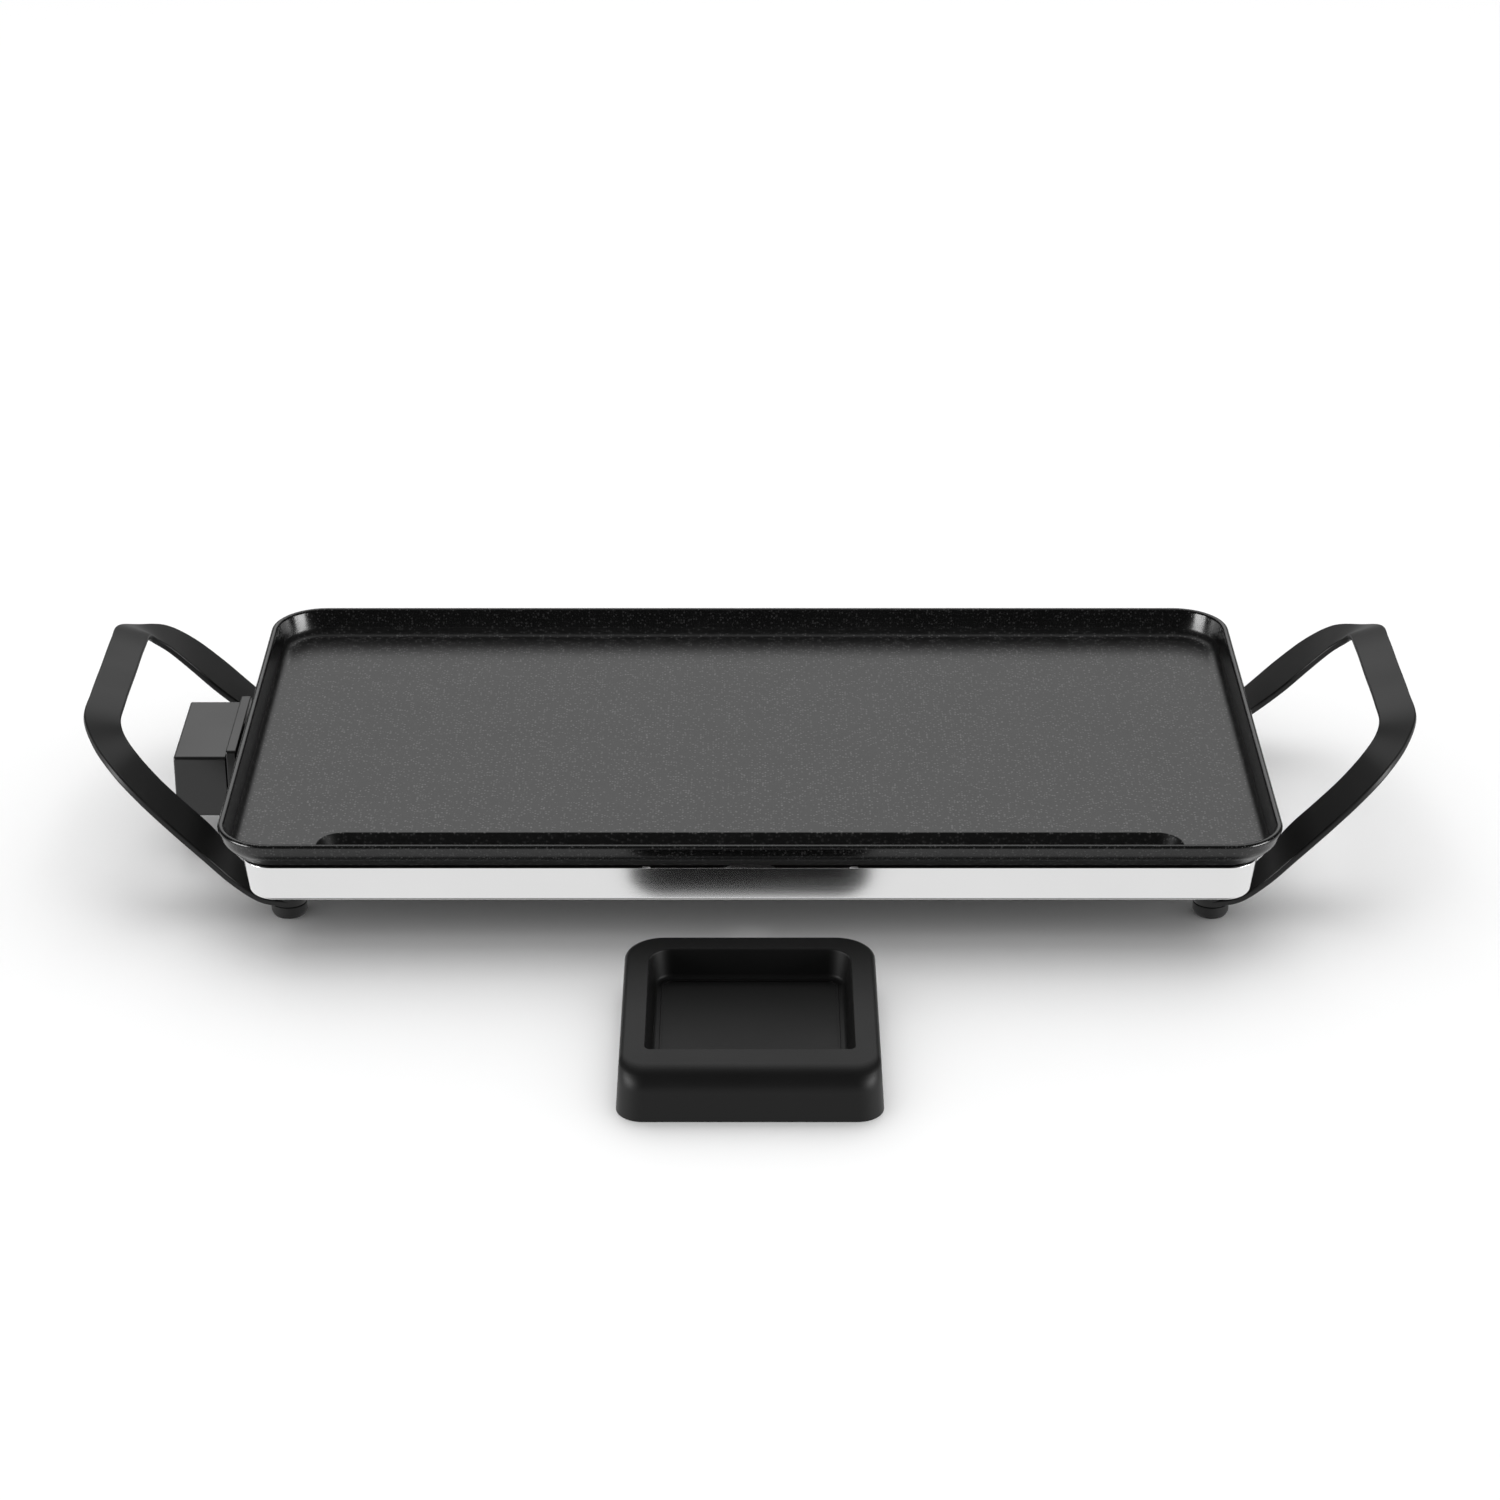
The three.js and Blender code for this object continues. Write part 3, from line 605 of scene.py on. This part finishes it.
body_side = filleted([
    (20, body_low.z, 0), (6, body_low.z, 0), (0, body_low.z, 1.8), (0, BODY_TOP_Z, 0.3),
    (SHEET, BODY_TOP_Z, 0.3), (SHEET, body_low.z + SHEET, 0.9), (6, body_low.z + SHEET, 0),
    (20, body_low.z + SHEET, 0),
])
body = stacked("body", [body_ring(inset, z) for inset, z in body_side])

TABS = [(0, 11.3, 8.4, 1.4), (-44.5, 1.9, 1.3, 0.8), (44.5, 1.9, 1.3, 0.8)]
tab_front = plate_y - BODY_TOP[1]
tabs = []
for x, foot, crest, height in TABS:
    outline = [(x - foot, 39), (x + foot, 39), (x + foot, BODY_TOP_Z), (x + crest, BODY_TOP_Z + height),
               (x - crest, BODY_TOP_Z + height), (x - foot, BODY_TOP_Z)]
    tabs.append(slab(outline, tab_front + 0.05, tab_front + SHEET - 0.05))
join(body, *tabs)

SCREW_HOLE = 2.3
SOCKET_SCREW_Y, SOCKET_SCREW_Z = 21.4, 32
WINDOW_LOW, WINDOW_HIGH, WINDOW_HALF = 28, 39, 18.5
socket_screws = [(plate_y + side * SOCKET_SCREW_Y, SOCKET_SCREW_Z) for side in (-1, 1)]
screw_holes = [rod(SCREW_HOLE, 20, 26, place) for place in foot_places + post_places]
side_holes = [rod(SCREW_HOLE, -224, -212, place, "X") for place in socket_screws]
window_outline = [(-225, WINDOW_LOW), (-200, WINDOW_LOW), (-200, WINDOW_HIGH), (-225, WINDOW_HIGH)]
window = slab(window_outline, plate_y - WINDOW_HALF, plate_y + WINDOW_HALF)
cut(body, rod(SPOUT_RADIUS + 1, 20, 26, (0, DRAIN_Y)), window, *screw_holes, *side_holes)
smooth(body)
finished(body, "steel_body", steel_finish, "griddle", "polished_stainless", "body_shell")

# %% [markdown]
# ## Black plastic
# Moulded plastic takes its skin from the mould, which is spark-eroded to a fine, even roughness so that
# fingermarks show less. A fine noise raises the skin, and a slow one changes the shine a little where hands
# have been.

# %% Black plastic
def moulded_plastic(name, dark, light, roughness, per_metre, skin_depth, specular):
    """Black plastic with a skin of fine pits, so many to a metre, that stand skin_depth millimetres high."""
    finish = new_finish(name)
    pits = grain(finish, per_metre, 3)
    handled = grain(finish, 22, 3)
    colour = blend_colours(finish, handled * 0.7 + pits * 0.3, srgb(dark), srgb(light))
    return close_finish(finish, Base_Color=colour, Roughness=handled * 0.12 + roughness,
                        Specular_IOR_Level=specular, Normal=raised(finish, pits, skin_depth, 0.5))


handle_finish = moulded_plastic("handle_plastic", dark=12, light=18, roughness=0.36, per_metre=1300,
                                skin_depth=0.03, specular=0.34)
socket_finish = moulded_plastic("socket_plastic", dark=14, light=20, roughness=0.26, per_metre=1500,
                                skin_depth=0.02, specular=0.6)
tray_finish = moulded_plastic("tray_plastic", dark=10, light=16, roughness=0.42, per_metre=1600,
                              skin_depth=0.02, specular=0.25)
print("three black plastics ready")

# %% [markdown]
# ## Handles
# Each handle is one flat strap that is bent and twisted: flat on top as a grip, then down both ends to a
# round post at the foot. Two smooth curves give the strap's outer and inner edge. At each step a thin
# rounded section is set between them, square to the strap. A curve object with a bevel couldn't twist and
# widen like this.

# %% Handle edges as smooth curves
STRAP_OUTER = [
    (293.2, 0, 81.4), (293.2, 30, 81.4), (293.4, 49.2, 78.7), (287.4, 64.1, 72.7), (276.2, 79.4, 65.6),
    (265.3, 86, 56.4), (252.6, 88.8, 44.2), (238.5, 89.5, 30), (225.3, 90, 17.1), (214, 91, 9.8),
    (FOOT_X, 91, 7.8),
]
STRAP_INNER = [
    (277.8, 0, 77), (277.8, 30, 77), (277.7, 47.1, 74.6), (275.8, 51.5, 70.4), (270.4, 56.2, 63.6),
    (260.9, 59.2, 52.7), (250.7, 60.1, 42), (239, 62.1, 30.9), (227.1, 68.1, 18.7), (214, 72, 9.8),
    (FOOT_X, 75, 7.8),
]
STRAP_STEPS = 9
STRAP_THICKNESS, STRAP_EDGE = 3, 0.9


def smooth_curve(points, steps):
    """Points of a smooth curve through the given ones, with steps for each stretch."""
    first = points[0] * 2 - points[1]
    last = points[-1] * 2 - points[-2]
    line = [first, *points, last]
    made = []
    for p0, p1, p2, p3 in zip(line, line[1:], line[2:], line[3:]):
        gap0, gap1, gap2 = (math.sqrt((b - a).length) for a, b in ((p0, p1), (p1, p2), (p2, p3)))
        leave = ((p1 - p0) / gap0 - (p2 - p0) / (gap0 + gap1) + (p2 - p1) / gap1) * gap1
        arrive = ((p2 - p1) / gap1 - (p3 - p1) / (gap1 + gap2) + (p3 - p2) / gap2) * gap1
        for k in range(steps):
            t = k / steps
            square = p1 * -3 + p2 * 3 - leave * 2 - arrive
            cube = p1 * 2 - p2 * 2 + leave + arrive
            made.append(p1 + leave * t + square * t ** 2 + cube * t ** 3)
    return [*made, points[-1]]


def whole_edge(half, side):
    """Both halves of a strap edge, front to back, on the right (1) or left (-1) side."""
    front = [Vector((side * x, plate_y - y, z)) for x, y, z in reversed(half[1:])]
    back = [Vector((side * x, plate_y + y, z)) for x, y, z in half]
    return smooth_curve(front + back, STRAP_STEPS)


# %% Handles
def strap_ring(outer, inner, ahead):
    """The strap's section at one step: a thin rectangle with round edges."""
    across = outer - inner
    half_width = across.length / 2
    across.normalize()
    lift = across.cross(ahead).normalized()
    half = STRAP_THICKNESS / 2
    corners = [(half_width, half), (-half_width, half), (-half_width, -half), (half_width, -half)]
    section = filleted([(u, w, STRAP_EDGE) for u, w in corners], 4, closed=True)
    middle = (outer + inner) / 2
    return [middle + across * u + lift * w for u, w in section]


POST_TOP = body_low.z - 0.3
FOOT_RADIUS = (foot_high.x - foot_low.x) / 2


def strap_handle(side):
    outer, inner = whole_edge(STRAP_OUTER, side), whole_edge(STRAP_INNER, side)
    middles = [(a + b) / 2 for a, b in zip(outer, inner)]
    last = len(middles) - 1
    rings = []
    for i, (a, b) in enumerate(zip(outer, inner)):
        ahead = middles[min(i + 1, last)] - middles[max(i - 1, 0)]
        rings.append(strap_ring(a, b, ahead))
    handle = stacked("handle", rings)
    post_side = filleted([(6, foot_high.z + 0.3, 0), (FOOT_RADIUS, foot_high.z + 0.3, 0.5),
                          (FOOT_RADIUS, POST_TOP, 0.5), (6, POST_TOP, 0)])
    places = [(side * FOOT_X, plate_y + y) for y in (-FOOT_Y, FOOT_Y)]
    join(handle, *(turned("post", post_side, (x, y, 0)) for x, y in places))
    cut(handle, *(rod(SCREW_HOLE, 0, 30, place) for place in places))
    return smooth(handle)


for side, name in ((-1, "left"), (1, "right")):
    finished(strap_handle(side), name + "_strap", handle_finish, "griddle", "black_plastic", name + "_handle")

# %% [markdown]
# ## Feet and screws
# Each foot is a rubber button with a recess for its screw. The screws that can be seen from below have
# round heads with a cross recess. The recess is cut with two narrow wedges, because a drawn cross would be
# flat in a close view.

# %% Rubber and zinc
def rubber():
    finish = new_finish("foot_rubber")
    bloom = grain(finish, 90, 4)
    colour = blend_colours(finish, bloom, srgb(20), srgb(34))
    return close_finish(finish, Base_Color=colour, Roughness=bloom * 0.2 + 0.6, Specular_IOR_Level=0.3,
                        Normal=raised(finish, grain(finish, 900, 3), 0.05, 0.5))


def plain_metal(name, dull, bright, roughness, per_metre, tint=(1, 1, 1), stretch=(1, 1, 1)):
    """A bare or plated metal whose colour and shine change softly from place to place."""
    finish = new_finish(name)
    cloud = grain(finish, per_metre, 4, stretch)
    scratch = grain(finish, per_metre * 12, 2, stretch)
    colour = blend_colours(finish, cloud, srgb(dull, tint), srgb(bright, tint))
    dullness = cloud * 0.16 + scratch * 0.08 + roughness
    return close_finish(finish, Base_Color=colour, Metallic=1.0, Roughness=dullness,
                        Normal=raised(finish, scratch, 0.01, 0.3))


rubber_finish = rubber()
zinc_finish = plain_metal("zinc_plated_steel", dull=168, bright=205, roughness=0.22, per_metre=160)
print("rubber and zinc ready")

# %% Feet and foot screws
FOOT_RECESS = 4.3
HEAD_HEIGHT, HEAD_RADIUS, SHANK_RADIUS = 1.9, 3.7, 1.9
CROSS_HALF_WIDTH = 0.45


def rubber_foot(x, y):
    radius, top = FOOT_RADIUS, foot_high.z
    side_view = filleted([(5.4, 0, 0), (radius - 0.9, 0, 0.9), (radius, 2, 1.2), (radius, top, 0.4),
                          (5.4, top, 0)])
    foot = turned("foot", side_view, (x, y, 0))
    recess = filleted([(FOOT_RECESS, 3.2, 0), (FOOT_RECESS, 0.3, 0.4), (FOOT_RECESS + 0.6, -0.3, 0)])
    cut(foot, turned("recess", recess, (x, y, 0)), rod(SCREW_HOLE, 2, top + 1, (x, y)))
    return smooth(foot)


def round_head_screw(middle, length, axis="Z"):
    """A screw with its head at the low end; the middle is the middle of the head's underside."""
    x, y, z = middle
    head = [(0.4, -HEAD_HEIGHT, 0), (2.6, -1.85, 2), (HEAD_RADIUS, -0.9, 0.9), (HEAD_RADIUS, 0, 0.2)]
    shank = [(SHANK_RADIUS, 0, 0.2), (SHANK_RADIUS, length - 0.8, 0.3), (1.1, length, 0)]
    profile = filleted(head + shank, 5)
    screw = turned("screw", profile, middle, axis, 40)
    wedge = [(-1.9, -2.4), (1.9, -2.4), (1.3, -0.9), (-1.3, -0.9)]
    if axis == "Z":
        turns = (lambda u, w, d: (x + u, y + d, z + w), lambda u, w, d: (x + d, y + u, z + w))
    else:
        turns = (lambda u, w, d: (x + w, y + u, z + d), lambda u, w, d: (x + w, y + d, z + u))
    cut(screw, *(slab(wedge, -CROSS_HALF_WIDTH, CROSS_HALF_WIDTH, turn) for turn in turns))
    return smooth(screw)


foot_names = ["front_left", "back_left", "front_right", "back_right"]
for name, (x, y) in zip(foot_names, foot_places):
    node = "foot_" + name
    finished(rubber_foot(x, y), "rubber_" + node, rubber_finish, "griddle", "rubber", node)
    low, high = box_mm("foot_screw_" + name)
    screw = round_head_screw((x, y, low.z + HEAD_HEIGHT), high.z - low.z - HEAD_HEIGHT)
    finished(screw, "screw_" + name, zinc_finish, "griddle", "zinc_steel", "foot_screw_" + name)

for number in range(1, 5):
    low, high = box_mm(f"plate_screw_{number}")
    middle = ((low.x + high.x) / 2, (low.y + high.y) / 2, low.z + HEAD_HEIGHT)
    screw = round_head_screw(middle, high.z - low.z - HEAD_HEIGHT)
    finished(screw, f"body_screw_{number}", zinc_finish, "griddle", "zinc_steel", f"plate_screw_{number}")

# %% [markdown]
# ## Socket
# The plug-in thermostat goes into a box on the left side. It is a moulded block with a flange behind it
# that stands a little higher and closes the gap to the body. Inside are two pins, an earth blade under the
# roof and the sleeve for the temperature probe. The block is stacked along X, so its round edges show.

# %% Socket box and flange
SOCKET_WALL, SOCKET_ROOF, SOCKET_BACK = 4.5, 4, 4.2
PIN_Y, PIN_Z, PIN_HOLE = 14, 34.9, 1.9
PROBE_Z, PROBE_HOLE = 34.2, 4.3
PASSAGE = (-265, -215)
socket_y = (housing_low.y + housing_high.y) / 2
socket_half = (housing_high.y - housing_low.y) / 2


def block_ring(x, inset, half_y, low, high, corner):
    flat = rounded_rectangle(half_y - inset, (high - low) / 2 - inset, max(corner - inset, 0.3), 0, steps=6)
    return [(x, socket_y + u, (low + high) / 2 + w) for u, w, _ in flat]


def block(name, x_side, half_y, low, high, corner=1.5):
    """A block along X from (x, inset, radius) points of its side view."""
    rings = [block_ring(x, inset, half_y, low, high, corner) for x, inset in filleted(x_side, 4)]
    return stacked(name, rings)


def passages():
    """Cutters for the two pins, the two screws and the probe, all along X."""
    holes = [rod(PIN_HOLE, *PASSAGE, (socket_y + side * PIN_Y, PIN_Z), "X") for side in (-1, 1)]
    holes += [rod(SCREW_HOLE, *PASSAGE, place, "X") for place in socket_screws]
    return [*holes, rod(PROBE_HOLE, *PASSAGE, (socket_y, PROBE_Z), "X")]


out_x, back_x = housing_low.x, housing_high.x
housing_side = [(out_x, 3, 0), (out_x, 0, 0.9), (back_x, 0, 0.3), (back_x, 3, 0)]
housing = block("housing", housing_side, socket_half, housing_low.z, housing_high.z)
mouth = [(out_x - 2, -1, 0), (out_x + 0.2, -0.6, 0.5), (out_x + 1.2, 0, 1)]
hollow_side = [*mouth, (back_x - SOCKET_BACK, 0, 1), (back_x - SOCKET_BACK, 3, 0)]
hollow_floor, hollow_roof = housing_low.z + SOCKET_WALL, housing_high.z - SOCKET_ROOF
hollow = block("hollow", hollow_side, socket_half - SOCKET_WALL, hollow_floor, hollow_roof, 3)
cut(housing, hollow, *passages())
smooth(housing)
finished(housing, "thermostat_socket", socket_finish, "griddle", "black_plastic", "socket_housing")

flange_front, flange_back = flange_low.x, -230.4
flange_side = [(flange_front, 3, 0), (flange_front, 0, 0.7), (flange_back, 0, 0.7), (flange_back, 3, 0)]
flange = block("flange", flange_side, socket_half, flange_low.z, flange_high.z)
lean = (BODY_TOP[0] - BODY_BOTTOM[0]) / (BODY_TOP_Z - body_low.z)


def wall_x(z):
    """Where the neck meets the leaning body wall."""
    return -(BODY_BOTTOM[0] + lean * (z - body_low.z)) - 0.4


NECK_LOW, NECK_HIGH, NECK_HALF = 25.5, 39.6, 28
THROAT_LOW, THROAT_HIGH, THROAT_HALF = 28.4, 38.6, 18
neck_outline = [(flange_back - 1, NECK_LOW), (wall_x(NECK_LOW), NECK_LOW), (wall_x(NECK_HIGH), NECK_HIGH),
                (flange_back - 1, NECK_HIGH)]
join(flange, slab(neck_outline, socket_y - NECK_HALF, socket_y + NECK_HALF))
throat_outline = [(flange_back, THROAT_LOW), (-200, THROAT_LOW), (-200, THROAT_HIGH),
                  (flange_back, THROAT_HIGH)]
throat = slab(throat_outline, socket_y - THROAT_HALF, socket_y + THROAT_HALF)
cut(flange, throat, *passages())
smooth(flange)
finished(flange, "socket_flange_moulding", socket_finish, "griddle", "black_plastic", "socket_flange")

# %% Pins and socket screws
brass_finish = plain_metal("brass", dull=150, bright=196, roughness=0.2, per_metre=120, tint=(1.0, 0.8, 0.42))
for name in ("front", "back"):
    low, high = box_mm("terminal_pin_" + name)
    y = (low.y + high.y) / 2
    radius = (high.y - low.y) / 2
    pin_side = filleted([(0.3, low.x, 0), (radius * 0.8, low.x, 0.9), (radius, low.x + 2, 1),
                         (radius, high.x, 0.1), (0.3, high.x, 0)])
    pin = smooth(turned("pin", pin_side, (0, y, (low.z + high.z) / 2), "X", 36))
    finished(pin, "contact_pin_" + name, brass_finish, "griddle", "brass", "terminal_pin_" + name)
    low, high = box_mm("socket_screw_" + name)
    middle = (low.x + HEAD_HEIGHT, (low.y + high.y) / 2, (low.z + high.z) / 2)
    screw = round_head_screw(middle, high.x - low.x - HEAD_HEIGHT, "X")
    finished(screw, "inlet_screw_" + name, zinc_finish, "griddle", "zinc_steel", "socket_screw_" + name)

# %% [markdown]
# ## Drip tray
# The tray is a hollow moulding, open underneath, with a wide front lip and a square bowl. Its back corners
# are rounder than its front ones, and its front edge rolls over more than the others. So its outlines are
# stacked close together near the top, each drawn in as far as the rounded edges are at that height.

# %% Drip tray
TRAY_WALL = 2.5
tray_half_top, tray_half_bottom = 52.5, (tray_high.x - tray_low.x) / 2
BACK_CORNER, FRONT_CORNER, FRONT_ROUND, EDGE_ROUND = 16.5, 11, 9, 2.4
TRAY_STEPS, ROLL_STEPS = 12, 12


def tray_ring(side_inset, front_inset, z):
    """Outline of the tray at a height, with its own corner sizes at the back and at the front."""
    share = min(max(z / tray_high.z, 0), 1)
    half = tray_half_bottom + (tray_half_top - tray_half_bottom) * share - side_inset
    back, front = tray_high.y - side_inset, tray_low.y + front_inset
    back_corner, front_corner = (max(corner - side_inset, 1.5) for corner in (BACK_CORNER, FRONT_CORNER))
    middle = (0, (back + front) / 2)
    return rounded_rectangle(half, (back - front) / 2, back_corner, z, middle, TRAY_STEPS, front_corner)


def rolled(radius, depth):
    """How far in a rounded edge lies at a depth below the top."""
    reach = min(max(radius - depth, 0), radius)
    return radius - math.sqrt(radius ** 2 - reach ** 2)


def tray_form(inset, low, high):
    """The tray's outside, or its underside hollow, between two heights."""
    heights = {low}
    for radius in (EDGE_ROUND, FRONT_ROUND):
        for step in range(ROLL_STEPS + 1):
            heights.add(round(high - radius * (1 - math.sin(step * math.pi / (2 * ROLL_STEPS))), 4))
    rings = []
    for z in sorted(heights):
        side_roll, front_roll = rolled(EDGE_ROUND, high - z), rolled(FRONT_ROUND, high - z)
        rings.append(tray_ring(inset + side_roll, inset + front_roll, z))
    return stacked("tray", rings)


BOWL_HALF_X, BOWL_BACK, BOWL_FRONT = 42.4, plate_y - 157, plate_y - 240.8
BOWL_BACK_CORNER, BOWL_FRONT_CORNER = 10, 2.5
BOWL_DRAFT, BOWL_FLOOR = 2.6, 9.4
bowl_y, bowl_half_y = (BOWL_BACK + BOWL_FRONT) / 2, (BOWL_BACK - BOWL_FRONT) / 2
bowl_z = tray_high.z


def bowl_ring(inset, z):
    half_x, half_y = BOWL_HALF_X - inset, bowl_half_y - inset
    back_corner = max(BOWL_BACK_CORNER - inset, 2)
    front_corner = max(BOWL_FRONT_CORNER - inset / 2, 0.8)
    return rounded_rectangle(half_x, half_y, back_corner, z, (0, bowl_y), front_corner=front_corner)


tray = tray_form(0, 0, tray_high.z)
underside = tray_form(TRAY_WALL, -1, tray_high.z - TRAY_WALL)
bowl_under = [(BOWL_DRAFT + 2 - TRAY_WALL, BOWL_FLOOR - TRAY_WALL), (BOWL_DRAFT - TRAY_WALL, BOWL_FLOOR - 1),
              (-TRAY_WALL, bowl_z + 0.2)]
cut(underside, stacked("bowl_under", [bowl_ring(inset, z) for inset, z in bowl_under]))
bowl_side = filleted([(12, BOWL_FLOOR, 0), (BOWL_DRAFT, BOWL_FLOOR, 2), (0.2, bowl_z + 0.02, 0.9),
                      (-1.4, bowl_z + 0.04, 0), (-1.4, bowl_z + 3, 0)])
cut(tray, underside, stacked("bowl", [bowl_ring(inset, z) for inset, z in bowl_side]))

LINE_INSET, LINE_WIDTH, LINE_HEIGHT = 5.2, 0.9, 0.45
line_outer = [bowl_ring(LINE_INSET, BOWL_FLOOR - 0.5), bowl_ring(LINE_INSET, BOWL_FLOOR + LINE_HEIGHT - 0.2),
              bowl_ring(LINE_INSET + 0.2, BOWL_FLOOR + LINE_HEIGHT)]
line = stacked("line", line_outer)
line_inner = [(LINE_INSET + LINE_WIDTH, BOWL_FLOOR - 1), (LINE_INSET + LINE_WIDTH, BOWL_FLOOR + 1)]
cut(line, stacked("line_inner", [bowl_ring(*step) for step in line_inner]))
join(tray, line)
smooth(tray)
finished(tray, "drip_tray_moulding", tray_finish, "drip_tray", "tray_plastic", "drip_tray")

# %% [markdown]
# ## Working parts
# Under the plate lie the heating element in its clamps, a reflector, nuts, ceramic beads and the probe's
# sleeve. Their solids already have the right shape, so they stay and only get a material: scaled heater
# steel, bright aluminium, glazed ceramic and brass.

# %% Materials for the solids that stay
def scaled_steel():
    """Heater sheath: dark steel with the brown and blue cast of heat."""
    finish = new_finish("heater_steel")
    cast = grain(finish, 60, 4)
    scale = grain(finish, 700, 4)
    warm = blend_colours(finish, cast, (0.07, 0.062, 0.05, 1), (0.13, 0.125, 0.13, 1))
    colour = blend_colours(finish, scale * 0.5, warm, (0.03, 0.028, 0.027, 1))
    return close_finish(finish, Base_Color=colour, Metallic=0.8, Roughness=scale * 0.25 + 0.35,
                        Normal=raised(finish, scale, 0.04, 0.6))


def glazed_ceramic():
    finish = new_finish("ceramic")
    pores = grain(finish, 500, 3)
    colour = blend_colours(finish, pores, (0.74, 0.69, 0.58, 1), (0.84, 0.81, 0.72, 1))
    return close_finish(finish, Base_Color=colour, Roughness=pores * 0.3 + 0.3,
                        Normal=raised(finish, pores, 0.03, 0.5))


heater_finish = scaled_steel()
ceramic_finish = glazed_ceramic()
aluminium_finish = plain_metal("bare_aluminium", dull=205, bright=226, roughness=0.16, per_metre=60,
                               stretch=(0.05, 1, 1))
finish_of = {
    "heating_element": heater_finish, "heat_reflector": aluminium_finish, "terminal_bead": ceramic_finish,
    "probe_tube": brass_finish, "earth_contact": brass_finish, "probe_clamp": zinc_finish,
    "element_clamp": zinc_finish, "clamp_screw": zinc_finish, "foot_nut": zinc_finish,
    "socket_nut": zinc_finish,
}
solids_kept = []
for node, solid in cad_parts.items():
    for start, chosen in finish_of.items():
        if node.startswith(start):
            solids_kept.append(node)
            for place in solid.material_slots:
                place.material = chosen
print("solids kept:", len(solids_kept))
